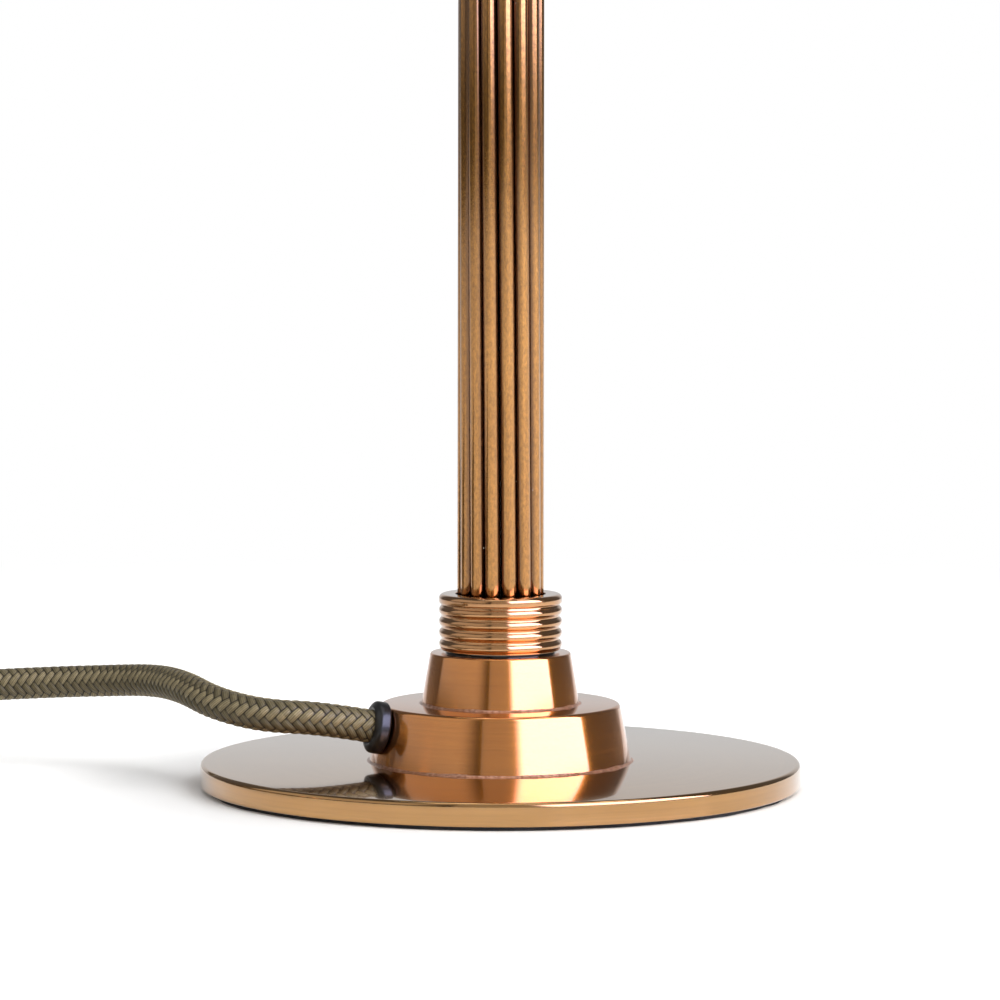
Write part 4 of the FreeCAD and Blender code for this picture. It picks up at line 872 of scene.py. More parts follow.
# ------------------------------------------------------------------ base
@dataclass
class Base:
    """Pad, plate, both tiers, solder lines and the bush for the flex. Sizes in millimetres."""

    pad_r: float = 62.5
    pad_thick: float = 0.8
    plate_r: float = 63.8
    plate_top: float = 5.7
    lower_foot_r: float = 27.9
    lower_top_r: float = 25.4
    lower_top: float = 17.9
    upper_foot_r: float = 16.8
    upper_top_r: float = 14.9
    upper_top: float = 28.8
    tube_r: float = 5.05
    seam: float = 0.5
    grommet_z: float = 13.5
    grommet_azimuth: float = 199.0
    screw_r: float = 1.5
    screw_head_r: float = 2.8
    screw_circle_r: float = 24.5
    screw_tip: float = 11.5
    screw_slot: float = 0.6

    def build(self, brass: bpy.types.Material, plate_brass: bpy.types.Material,
              solder: bpy.types.Material, sheet_rubber: bpy.types.Material,
              bush_rubber: bpy.types.Material, zinc: bpy.types.Material) -> None:
        """Build and dress the whole base."""
        self.pad(sheet_rubber)
        self.screws(zinc)
        plate = turned("base_plate_turned", rounded([
            (0, self.pad_thick), (self.plate_r, self.pad_thick, 0.4),
            (self.plate_r, self.plate_top, 0.9), (0, self.plate_top)]), 256)
        settle(plate, plate_brass, "aged_brass", "base_plate")
        lower = turned("lower_tier_turned", rounded([
            (22.5, self.plate_top), (self.lower_foot_r, self.plate_top),
            (self.lower_top_r, self.lower_top, 0.9), (11.5, self.lower_top),
            (11.5, self.lower_top - 1.5), (22.5, self.lower_top - 1.5), (22.5, self.plate_top)]), 224)
        way, _ = self.at_bush(6.0)
        cut(lower, bar_between(way - self.bush_axis() * 14.0, way, 3.95, 48))
        smooth(lower)
        settle(lower, brass, "aged_brass", "lower_tier")
        upper = turned("upper_tier_turned", rounded([
            (11.5, self.lower_top), (self.upper_foot_r, self.lower_top),
            (self.upper_top_r, self.upper_top, 0.5), (self.tube_r, self.upper_top),
            (self.tube_r, self.upper_top - 6.0), (11.5, self.upper_top - 6.0, 0.8),
            (11.5, self.lower_top)]), 192)
        settle(upper, brass, "aged_brass", "upper_tier")
        self.seams(solder)
        self.grommet(bush_rubber)

    def pad(self, rubber: bpy.types.Material) -> None:
        """Thin pad with a hand-cut, slightly uneven edge."""
        pad = turned("base_pad_cut", rounded([
            (0, 0), (self.pad_r, 0, 0.12), (self.pad_r, self.pad_thick), (0, self.pad_thick)], 3), 256)
        for vertex in pad.data.vertices:
            out = Vector((vertex.co.x, vertex.co.y))
            if out.length > 0.9 * self.pad_r * MM:
                angle = math.atan2(out.y, out.x)
                wave = (math.sin(7 * angle + 0.6) + 0.8 * math.sin(17 * angle + 2.1)
                        + 0.5 * math.sin(41 * angle))
                out += out.normalized() * 0.22 * MM * wave
                vertex.co.x, vertex.co.y = out
        settle(pad, rubber, "pad_rubber", "base_pad")

    def screws(self, zinc: bpy.types.Material) -> None:
        """Three slotted countersunk screws from below, inside the lower tier's wall."""
        foot, cone = self.pad_thick, self.screw_head_r - self.screw_r
        screw = turned("base_screws_turned", rounded([
            (0, foot), (self.screw_head_r, foot, 0.08), (self.screw_r, foot + cone),
            (self.screw_r, self.screw_tip - 0.6),
            (self.screw_r - 0.5, self.screw_tip), (0, self.screw_tip)], 3), 48)
        lay_off()
        bpy.ops.mesh.primitive_cube_add(size=1.0, location=(0, 0, foot * MM))
        slot = bpy.context.active_object
        slot.data.transform(Matrix.Diagonal((8 * MM, 0.7 * MM, 2 * self.screw_slot * MM, 1.0)))
        cut(screw, slot)
        screw.data.transform(Matrix.Translation((self.screw_circle_r * MM, 0, 0)))
        turns = [Matrix.Rotation(math.radians(30 + 120 * i), 4, "Z") for i in range(3)]
        others = [copied(screw, turn) for turn in turns[1:]]
        screw.data.transform(turns[0])
        screws = joined([screw] + others)
        smooth(screws)
        settle(screws, zinc, "zinc_steel", "base_screws")

    def seams(self, solder: bpy.types.Material) -> None:
        """The two uneven solder lines at the feet of the tiers."""
        rings = []
        for foot_r, foot_z in ((self.lower_foot_r, self.plate_top), (self.upper_foot_r, self.lower_top)):
            ring = turned("seam", arc((foot_r - 0.2, foot_z + self.seam + 0.1),
                                      (foot_r + 0.13, foot_z + 0.2),
                                      (foot_r + self.seam + 0.1, foot_z - 0.05), 5)
                          + [(foot_r - 0.2, foot_z - 0.05), (foot_r - 0.2, foot_z + self.seam + 0.1)], 300)
            for vertex in ring.data.vertices:
                angle = math.atan2(vertex.co.y, vertex.co.x)
                swell = (0.05 * math.sin(9 * angle) + 0.03 * math.sin(23 * angle + 1.0)
                         + 0.015 * math.sin(71 * angle))
                lift = max(0.0, vertex.co.z / MM - foot_z) * swell * MM
                vertex.co.z += lift
                vertex.co.x += math.cos(angle) * lift
                vertex.co.y += math.sin(angle) * lift
            rings.append(ring)
        lines = joined(rings)
        lines.name = "solder_lines"
        settle(lines, solder, "solder", "solder_seams")

    def bush_axis(self) -> Vector:
        """Direction out of the lower tier's wall at the bush."""
        slope = math.atan2(self.lower_foot_r - self.lower_top_r, self.lower_top - self.plate_top)
        azimuth = math.radians(self.grommet_azimuth)
        return Vector((math.cos(slope) * math.cos(azimuth), math.cos(slope) * math.sin(azimuth),
                       math.sin(slope)))

    def at_bush(self, outward: float) -> tuple[Vector, Matrix]:
        """Place on the bush's axis, in millimetres out from the wall, and the turn onto that axis."""
        azimuth = math.radians(self.grommet_azimuth)
        share = (self.grommet_z - self.plate_top) / (self.lower_top - self.plate_top)
        wall_r = self.lower_foot_r + (self.lower_top_r - self.lower_foot_r) * share
        face = Vector((wall_r * math.cos(azimuth), wall_r * math.sin(azimuth), self.grommet_z))
        axis = self.bush_axis()
        return face + axis * outward, Vector((0, 0, 1)).rotation_difference(axis).to_matrix().to_4x4()

    def grommet(self, rubber: bpy.types.Material) -> None:
        """Black bush that leans with the tier's wall."""
        bush = turned("flex_bush", rounded([
            (3.05, -6.4), (4.4, -6.4, 0.4), (4.4, -5.4), (3.9, -5.4), (3.9, 0.0), (5.55, -0.25, 0.5),
            (5.55, 2.34, 0.95), (4.1, 3.0, 0.3), (3.55, 2.9), (3.55, 1.4), (3.05, 1.4), (3.05, -6.4)]), 96)
        at, turn = self.at_bush(0.0)
        bush.data.transform(Matrix.Translation(at * MM) @ turn)
        settle(bush, rubber, "grommet_rubber", "cable_grommet")


# ------------------------------------------------------------------ column
@dataclass
class Column:
    """Ribbed collars and the bundle of leaning rods. Sizes in millimetres."""

    collar_z: float = 29.4
    collar_gap: float = 0.6
    gap_r: float = 11.8
    rib_r: float = 13.1
    groove_r: float = 12.6
    rib_pitch: float = 2.4
    rib_count: int = 5
    top_rib: float = 2.3
    top_round: float = 1.0
    land: float = 0.45
    floor: float = 3.0
    visible: float = 250.0
    rod_count: int = 14
    rod_r: float = 1.65
    rod_gap: float = 0.02
    twist: float = -0.0635
    first_gap_deg: float = -89.3
    tube_r: float = 5.05

    def collar_height(self) -> float:
        """Height of a collar."""
        return (self.rib_count - 1) * self.rib_pitch + self.top_rib

    def circle_r(self) -> float:
        """Radius on which the rods stand."""
        length = self.visible + 2 * self.collar_height() - 2 * self.floor
        half_twist = math.radians(abs(self.twist) * length / 2)
        return (2 * self.rod_r + self.rod_gap) / (
            2 * math.sin(math.pi / self.rod_count) * math.cos(half_twist))

    def build(self, collar_brass: bpy.types.Material, rod_brass: bpy.types.Material) -> None:
        """Build both collars and all rods."""
        lower = self.collar("lower_collar_turned")
        lower.data.transform(Matrix.Translation((0, 0, self.collar_z * MM)))
        settle(lower, collar_brass, "aged_brass", "lower_collar")
        top_z = self.collar_z + 2 * self.collar_height() + self.visible
        upper = self.collar("top_collar_turned")
        upper.data.transform(Matrix.Translation((0, 0, top_z * MM)) @ Matrix.Rotation(math.pi, 4, "X"))
        settle(upper, collar_brass, "aged_brass", "top_collar")
        self.rods(rod_brass)

    def collar(self, name: str) -> bpy.types.Object:
        """A collar that stands on z = 0 with its cup upwards."""
        seat_r = self.circle_r() + self.rod_r + 0.05
        cup_r = seat_r + 0.35
        half_land = self.land / 2
        height = self.collar_height()
        profile: Profile = [(self.tube_r, -self.collar_gap), (self.gap_r, -self.collar_gap), (self.gap_r, 0)]
        profile.append((self.groove_r, 0))
        for i in range(self.rib_count - 1):
            low = i * self.rib_pitch + half_land
            high = (i + 1) * self.rib_pitch - half_land
            profile += arc((self.groove_r, low), (self.rib_r, (low + high) / 2), (self.groove_r, high), 12)
        low = (self.rib_count - 1) * self.rib_pitch + half_land
        profile += rounded([
            (self.groove_r, low), (self.rib_r, low, (self.rib_r - self.groove_r) * 0.9),
            (self.rib_r, height, self.top_round), (cup_r, height, 0.2), (cup_r, height - 3.0),
            (seat_r, height - 3.0), (seat_r, self.floor), (self.tube_r, self.floor),
            (self.tube_r, -self.collar_gap)], 8)
        return turned(name, profile, 192, 50.0)

    def rods(self, brass: bpy.types.Material) -> None:
        """Fourteen straight rods that lean the same way round the axis."""
        foot_z = self.collar_z + self.floor + 0.05
        collar_top = self.collar_z + self.collar_height()
        top_z = collar_top + self.visible + self.collar_height() - self.floor - 0.05
        circle = self.circle_r()
        first = None
        for i in range(self.rod_count):
            at_collar = self.first_gap_deg + (i + 0.5) * 360 / self.rod_count
            ends = []
            for z in (foot_z, top_z):
                angle = math.radians(at_collar + self.twist * (z - collar_top))
                ends.append(Vector((circle * math.cos(angle), circle * math.sin(angle), z)) * MM)
            axis = ends[1] - ends[0]
            first = first or self.rod(axis.length)
            turn = Vector((0, 0, 1)).rotation_difference(axis).to_matrix().to_4x4()
            rod = copied(first, Matrix.Translation(ends[0]) @ turn)
            rod.name = "column_rod_drawn_%02d" % (i + 1)
            settle(rod, brass, "aged_brass", "column_rod_%02d" % (i + 1))
        bpy.data.objects.remove(first)

    def rod(self, length: float) -> bpy.types.Object:
        """One rod that stands on the origin, its end edges eased."""
        lay_off()
        bpy.ops.mesh.primitive_cylinder_add(vertices=48, radius=self.rod_r * MM, depth=length,
                                            location=(0, 0, length / 2))
        rod = bpy.context.active_object
        bpy.ops.object.transform_apply(location=True, rotation=True, scale=True)
        ease_edges(rod, 0.2)
        smooth(rod)
        return rod


# ------------------------------------------------------------------ flex
@dataclass
class Flex:
    """The free flex: lead, coil and tail as one braided tube. Points in millimetres."""

    radius: float = 3.45
    exit_run: float = 12.0
    coil_x: float = -168.0
    coil_y: float = -10.3
    inner_r: float = 28.0
    pitch: float = 7.5
    turns_in: float = 3.0
    turns_out: float = 3.25
    start_deg: float = 90.0
    high_z: float = 11.7
    layer: float = 7.5
    points_per_turn: int = 16
    around: int = 48
    near_step: float = 0.30
    far_step: float = 1.8
    near_length: float = 150.0

    start = Vector((-26.166, -9.010, 13.781))
    axis = Vector((-0.926, -0.319, 0.201))
    route = (
        (-49.8, -11.8, 16.5), (-60.6, -5.3, 18.4), (-67.6, 6.2, 20.5), (-75.0, 20.6, 20.3),
        (-86.0, 31.2, 18.9), (-99.6, 37.2, 17.8), (-114.0, 39.9, 16.8), (-129.0, 40.3, 15.3),
        (-143.0, 40.2, 13.2),
    )
    entry = ((-150.005, 40.625, 11.7), (-161.002, 40.365, 11.7))
    leave = ((-220.534, -17.298, 4.2), (-220.739, -26.296, 4.2))
    tail = ((-218.134, -39.298, 5.9), (-215.934, -50.298, 8.8), (-215.534, -60.298, 10.1),
            (-215.534, -71.298, 10.1))

    def points(self) -> list[Vector]:
        """Control points of the flex's smooth line, from the bush to the plug."""
        points = [self.start, self.start + self.axis * self.exit_run]
        points += [Vector(point) for point in self.route]
        points += [Vector(point) for point in self.entry]
        points += self.coil_points()
        points += [Vector(point) for point in self.leave + self.tail]
        return points

    def coil_points(self) -> list[Vector]:
        """The coil's turns: in on the upper layer, down where it reverses, out on the lower one."""
        step = 1.0 / self.points_per_turn
        sag = 0.75 + 0.25 * math.cos(2 * math.pi * step)
        points = []
        for k in range(round((self.turns_in + self.turns_out) * self.points_per_turn) + 1):
            turn = k * step
            from_middle = turn - self.turns_in
            radius = (self.inner_r + self.pitch * abs(from_middle)) / sag
            share = min(1.0, max(0.0, (from_middle + 0.25) / 0.5))
            z = self.high_z - self.layer * (1 - math.cos(math.pi * share)) / 2
            angle = math.radians(self.start_deg) + 2 * math.pi * turn
            points.append(Vector((self.coil_x + radius * math.cos(angle),
                                  self.coil_y + radius * math.sin(angle), z)))
        return points

    def line(self) -> list[Vector]:
        """Closely spaced points along the smooth line through the route, in metres."""
        points = self.points()
        data = bpy.data.curves.new("flex_line", "CURVE")
        data.dimensions = "3D"
        data.resolution_u = 24
        spline = data.splines.new("NURBS")
        spline.points.add(len(points) - 1)
        for place, point in zip(spline.points, points):
            place.co = (*(point * MM), 1.0)
        spline.order_u = 3
        spline.use_endpoint_u = True
        curve = bpy.data.objects.new("flex_line", data)
        bpy.context.scene.collection.objects.link(curve)
        mesh = bpy.data.meshes.new_from_object(curve)
        line = [vertex.co.copy() for vertex in mesh.vertices]
        bpy.data.objects.remove(curve)
        bpy.data.meshes.remove(mesh)
        return line

    def stations(self, line: list[Vector]) -> tuple[list[Vector], list[float]]:
        """Places along the line, dense where the flex is seen from near, with their distances."""
        places = [line[0]]
        marks = [0.0]
        total = 0.0
        target = self.near_step * MM
        for first, second in zip(line, line[1:]):
            run = (second - first).length
            while run > 0 and target <= total + run:
                places.append(first.lerp(second, (target - total) / run))
                marks.append(target)
                near = target < self.near_length * MM
                target += (self.near_step if near else self.far_step) * MM
            total += run
        if total - marks[-1] > 0.3 * self.near_step * MM:
            places.append(line[-1])
            marks.append(total)
        return places, marks

    def build(self, textile: bpy.types.Material,
              weave: BraidWeave) -> tuple[bpy.types.Object, list[Vector], float]:
        """Sweep the braid's section along the line.

        Returns:
            The flex, its line and its length, in metres.
        """
        places, marks = self.stations(self.line())
        count = self.around
        side = Vector((0, 0, 1))
        vertices = []
        for i, place in enumerate(places):
            tangent = (places[min(i + 1, len(places) - 1)] - places[max(i - 1, 0)]).normalized()
            side = (side - tangent * side.dot(tangent)).normalized()
            across = tangent.cross(side)
            for k in range(count):
                share = k / count
                lift = weave.height(marks[i] / weave.leaf, share) - 0.5
                radius = self.radius * MM + weave.lift * lift
                angle = 2 * math.pi * share
                vertices.append(place + side * (radius * math.cos(angle))
                                + across * (radius * math.sin(angle)))
        faces = []
        uvs = []
        for i in range(len(places) - 1):
            low, high = marks[i] / weave.leaf, marks[i + 1] / weave.leaf
            for k in range(count):
                nxt = (k + 1) % count
                faces.append((i * count + k, i * count + nxt, (i + 1) * count + nxt, (i + 1) * count + k))
                uvs += [(low, k / count), (low, (k + 1) / count), (high, (k + 1) / count), (high, k / count)]
        faces.append(tuple(range(count))[::-1])
        uvs += [(0.0, 0.0)] * count
        last = (len(places) - 1) * count
        faces.append(tuple(range(last, last + count)))
        uvs += [(0.0, 0.0)] * count
        mesh = bpy.data.meshes.new("flex_braid")
        mesh.from_pydata(vertices, [], faces)
        layer = mesh.uv_layers.new(name="braid")
        layer.data.foreach_set("uv", [part for uv in uvs for part in uv])
        mesh.update()
        flex = bpy.data.objects.new("flex_braid", mesh)
        bpy.context.scene.collection.objects.link(flex)
        lay_off()
        flex.select_set(True)
        bpy.context.view_layer.objects.active = flex
        bpy.ops.object.mode_set(mode="EDIT")
        face_outward()
        smooth(flex, 180.0)
        settle(flex, textile, "flex_braid", "cord_lead", "cord_coil", "cord_tail")
        LOG.info("flex is %.1f mm long", marks[-1] / MM)
        return flex, places, marks[-1]


# ------------------------------------------------------------------ lampholder
@dataclass
class Lampholder:
    """Turned boss, domed cap, threaded skirt, clamping ring and push bar. Sizes in millimetres."""

    boss_z: float = 303.8
    boss_foot_r: float = 13.0
    boss_top_r: float = 9.6
    foot_z: float = 310.8
    tube_r: float = 5.05
    neck_r: float = 9.0
    body_r: float = 20.5
    body_bore_r: float = 19.2
    dome_top: float = 326.8
    cap_top: float = 334.8
    flange_r: float = 23.5
    flange_top: float = 346.8
    skirt_top: float = 364.8
    skirt_bore_r: float = 18.4
    thread_root_r: float = 19.2
    thread_crest_r: float = 19.8
    thread_pitch: float = 2.0
    bar_z: float = 339.8
    bar_r: float = 2.2
    knob_r: float = 3.3
    knob_in: float = 23.3
    knob: float = 7.0
    bar_shift: float = 2.5
    ring_z: float = 348.5
    ring_bore_r: float = 19.9
    ring_flange_r: float = 26.5
    ring_flange: float = 1.7
    ring_grip_r: float = 23.2
    ring_height: float = 5.5
    ring_notches: int = 24
    notch_r: float = 0.9

    def build(self, brass: bpy.types.Material, bar_plastic: bpy.types.Material) -> None:
        """Build every outer piece of the lampholder."""
        self.boss(brass)
        self.cap(brass)
        self.skirt(brass)
        self.ring(brass)
        self.bar(bar_plastic)

    def boss(self, brass: bpy.types.Material) -> None:
        """Turned boss between the top collar and the holder."""
        pocket_r = 8.48
        top = self.foot_z
        boss = turned("top_boss_turned", rounded([
            (self.tube_r, self.boss_z), (self.boss_foot_r, self.boss_z, 0.8),
            (self.boss_foot_r, self.boss_z + 2.2, 0.9), (self.boss_top_r + 0.6, self.boss_z + 2.9, 0.9),
            (self.boss_top_r, top, 0.4), (pocket_r, top), (pocket_r, top - 3.0),
            (self.tube_r, top - 3.0), (self.tube_r, self.boss_z)], 8), 160)
        settle(boss, brass, "aged_brass", "top_boss")

    def cap(self, brass: bpy.types.Material) -> None:
        """Thin spun dome that screws onto the column's tube."""
        foot = self.foot_z
        profile = rounded([(self.tube_r, foot), (self.neck_r, foot, 0.5), (self.neck_r, foot + 4.0)])
        profile += arc((self.neck_r, foot + 4.0), (17.1, foot + 8.08), (self.body_r, self.dome_top), 20)[1:]
        profile += rounded([(self.body_r, self.dome_top), (self.body_r, self.cap_top, 0.3),
                            (self.body_bore_r, self.cap_top), (self.body_bore_r, self.dome_top)])[1:]
        profile += arc((self.body_bore_r, self.dome_top), (15.8, foot + 10.0), (9.6, foot + 8.0), 14)[1:]
        profile += [(self.tube_r, foot + 8.0), (self.tube_r, foot)]
        settle(turned("lampholder_cap_spun", profile, 192), brass, "aged_brass", "lampholder_cap")

    def skirt(self, brass: bpy.types.Material) -> None:
        """Skirt with the shade flange, a cut thread above it and a way through for the bar."""
        skirt = turned("lampholder_skirt_turned", rounded([
            (self.skirt_bore_r, self.cap_top - 3.5), (self.body_bore_r - 0.1, self.cap_top - 3.5),
            (self.body_bore_r - 0.1, self.cap_top), (self.body_r, self.cap_top, 0.3),
            (self.body_r, self.flange_top - 2.0), (self.flange_r, self.flange_top - 2.0, 0.5),
            (self.flange_r, self.flange_top, 0.4), (self.thread_root_r, self.flange_top),
            (self.thread_root_r, self.skirt_top, 0.4), (self.skirt_bore_r, self.skirt_top),
            (self.skirt_bore_r, self.cap_top - 3.5)]), 192)
        lay_off()
        bpy.ops.mesh.primitive_cylinder_add(vertices=48, radius=(self.bar_r + 0.08) * MM, depth=0.06,
                                            location=(0, 0, self.bar_z * MM), rotation=(0, math.pi / 2, 0))
        cut(skirt, bpy.context.active_object)
        smooth(skirt)
        settle(skirt, brass, "aged_brass", "lampholder_skirt")
        thread = threaded("lampholder_thread", self.thread_root_r, self.thread_crest_r,
                          self.flange_top + 1.2, self.skirt_top - 0.9, self.thread_pitch, 0.8)
        settle(thread, brass, "aged_brass")

    def ring(self, brass: bpy.types.Material) -> None:
        """Clamping ring with a flange and a notched grip."""
        low, step, top = self.ring_z, self.ring_z + self.ring_flange, self.ring_z + self.ring_height
        ring = turned("shade_ring_turned", rounded([
            (self.ring_bore_r, low), (self.ring_flange_r, low, 0.4), (self.ring_flange_r, step, 0.4),
            (self.ring_grip_r, step), (self.ring_grip_r, top, 0.5), (self.ring_bore_r, top),
            (self.ring_bore_r, low)]), 192)
        lay_off()
        bpy.ops.mesh.primitive_cylinder_add(vertices=16, radius=self.notch_r * MM,
                                            depth=self.ring_height * MM,
                                            location=((self.ring_grip_r + 0.3) * MM, 0,
                                                      (step + self.ring_height / 2) * MM))
        first = bpy.context.active_object
        bpy.ops.object.transform_apply(location=True, rotation=True, scale=True)
        notches = [first]
        for i in range(1, self.ring_notches):
            notches.append(copied(first, Matrix.Rotation(2 * math.pi * i / self.ring_notches, 4, "Z")))
        cut(ring, joined(notches))
        smooth(ring)
        settle(ring, brass, "aged_brass", "shade_ring", body="ring")

    def bar(self, plastic: bpy.types.Material) -> None:
        """Push bar with a domed knob at each end, resting with its right knob out."""
        far = self.knob_in + self.knob
        bar = turned("switch_bar_turned", rounded([
            (0, -far), (self.knob_r, -far, 2.4), (self.knob_r, -self.knob_in, 0.5),
            (self.bar_r, -self.knob_in), (self.bar_r, self.knob_in), (self.knob_r, self.knob_in, 0.5),
            (self.knob_r, far, 2.4), (0, far)], 8), 64)
        turn = Matrix.Rotation(math.pi / 2, 4, "Y")
        bar.data.transform(Matrix.Translation((self.bar_shift * MM, 0, self.bar_z * MM)) @ turn)
        settle(bar, plastic, "insert_phenolic", "switch_bar", body="switch")


# ------------------------------------------------------------------ bulb
@dataclass
class Bulb:
    """Clear bulb with a screw cap and straight filaments. Sizes in millimetres."""

    tip_z: float = 347.1
    tip_r: float = 4.5
    insulator_z: float = 348.7
    shell_z: float = 352.1
    shell_top: float = 371.6
    root_r: float = 12.35
    crest_r: float = 13.2
    pitch: float = 3.62
    collar_r: float = 13.8
    glass_z: float = 374.6
    neck_r: float = 13.6
    ball_z: float = 422.1
    ball_r: float = 30.0
    wall: float = 0.8
    stem_r: float = 3.2
    stem_top: float = 408.1
    filaments: int = 4
    filament_r: float = 0.85
    filament_in: float = 2.6
    filament_out: float = 6.5
    filament_top: float = 436.1

    def build(self, glass: bpy.types.Material, metal: bpy.types.Material, black: bpy.types.Material,
              coat: bpy.types.Material) -> None:
        """Build the cap, the glass and what stands inside it."""
        self.cap(metal, black)
        self.envelope(glass)
        self.inside(glass, metal, coat)

    def cap(self, metal: bpy.types.Material, black: bpy.types.Material) -> None:
        """Contact, insulator and rolled screw shell."""
        shell = turned("bulb_screw_cap", rounded([
            (0, self.shell_z), (self.root_r - 1.6, self.shell_z - 0.35),
            (self.root_r, self.shell_z + 0.3, 0.6),
            (self.root_r, self.shell_top), (self.collar_r, self.shell_top + 1.5, 0.5),
            (self.collar_r, self.glass_z, 0.3), (0, self.glass_z)]), 128)
        settle(shell, metal, "bulb_metal", "bulb_cap", body="bulb")
        thread = threaded("bulb_cap_thread", self.root_r, self.crest_r, self.shell_z + 2.6,
                          self.shell_top - 1.2, self.pitch, 3.0, round_crest=True)
        settle(thread, metal, "bulb_metal", body="bulb")
        insulator = turned("bulb_insulator", rounded([
            (0, self.insulator_z), (self.tip_r + 0.6, self.insulator_z, 0.4),
            (self.root_r - 1.6, self.shell_z - 0.3, 0.5), (0, self.shell_z - 0.3)]), 96)
        settle(insulator, black, "insert_phenolic", body="bulb")
        tip = turned("bulb_contact", rounded([
            (0, self.tip_z), (self.tip_r, self.tip_z, 1.0), (self.tip_r, self.insulator_z),
            (0, self.insulator_z)]), 64)
        settle(tip, metal, "bulb_metal", body="bulb")

    def envelope(self, glass: bpy.types.Material) -> None:
        """Thin blown glass, closed at its neck."""
        reach, inner = math.sqrt(0.5) * self.ball_r, self.ball_r - self.wall
        reach_in = math.sqrt(0.5) * inner
        profile = [(0.0, self.glass_z)]
        profile += arc((self.neck_r, self.glass_z), (20.6, 399.3), (self.ball_r, self.ball_z), 24)
        profile += arc((self.ball_r, self.ball_z), (reach, self.ball_z + reach),
                       (0, self.ball_z + self.ball_r), 24)[1:]
        profile += arc((0, self.ball_z + inner), (reach_in, self.ball_z + reach_in), (inner, self.ball_z), 24)
        profile += arc((inner, self.ball_z), (19.8, 399.5),
                       (self.neck_r - self.wall, self.glass_z + self.wall), 24)[1:]
        profile += [(0.0, self.glass_z + self.wall)]
        envelope = turned("bulb_glass_blown", profile, 128, 60.0)
        settle(envelope, glass, "bulb_clear_glass", "bulb_glass", body="bulb")

    def inside(self, glass: bpy.types.Material, metal: bpy.types.Material, coat: bpy.types.Material) -> None:
        """Glass stem, coated filaments and the wires that carry them."""
        foot = self.glass_z + self.wall
        profile = [(0.0, foot)] + arc((self.stem_r + 3.5, foot), (self.stem_r + 0.6, foot + 3.2),
                                      (self.stem_r, foot + 8.0), 10)
        profile += rounded([(self.stem_r, foot + 8.0), (self.stem_r, self.stem_top, 1.4),
                            (0, self.stem_top)])[1:]
        settle(turned("bulb_stem", profile, 64, 60.0), glass, "bulb_clear_glass", "bulb_filament",
               body="bulb")
        sticks, wires = [], []
        for i in range(self.filaments):
            angle = math.radians(45 + 360 * i / self.filaments)
            out = Vector((math.cos(angle), math.sin(angle), 0))
            low = out * self.filament_in + Vector((0, 0, self.stem_top - 2.5))
            high = out * self.filament_out + Vector((0, 0, self.filament_top))
            sticks.append(bar_between(low.lerp(high, 0.16), low.lerp(high, 0.94), self.filament_r, 24, 0.35))
            wires.append(bar_between(low - out * 0.8, low.lerp(high, 0.18), 0.3, 12))
            wires.append(bar_between(low.lerp(high, 0.92), high, 0.3, 12))
        coated = joined(sticks)
        coated.name = "bulb_filament_sticks"
        settle(coated, coat, "filament_coat", body="bulb")
        leads = joined(wires)
        leads.name = "bulb_filament_wires"
        settle(leads, metal, "bulb_metal", body="bulb")


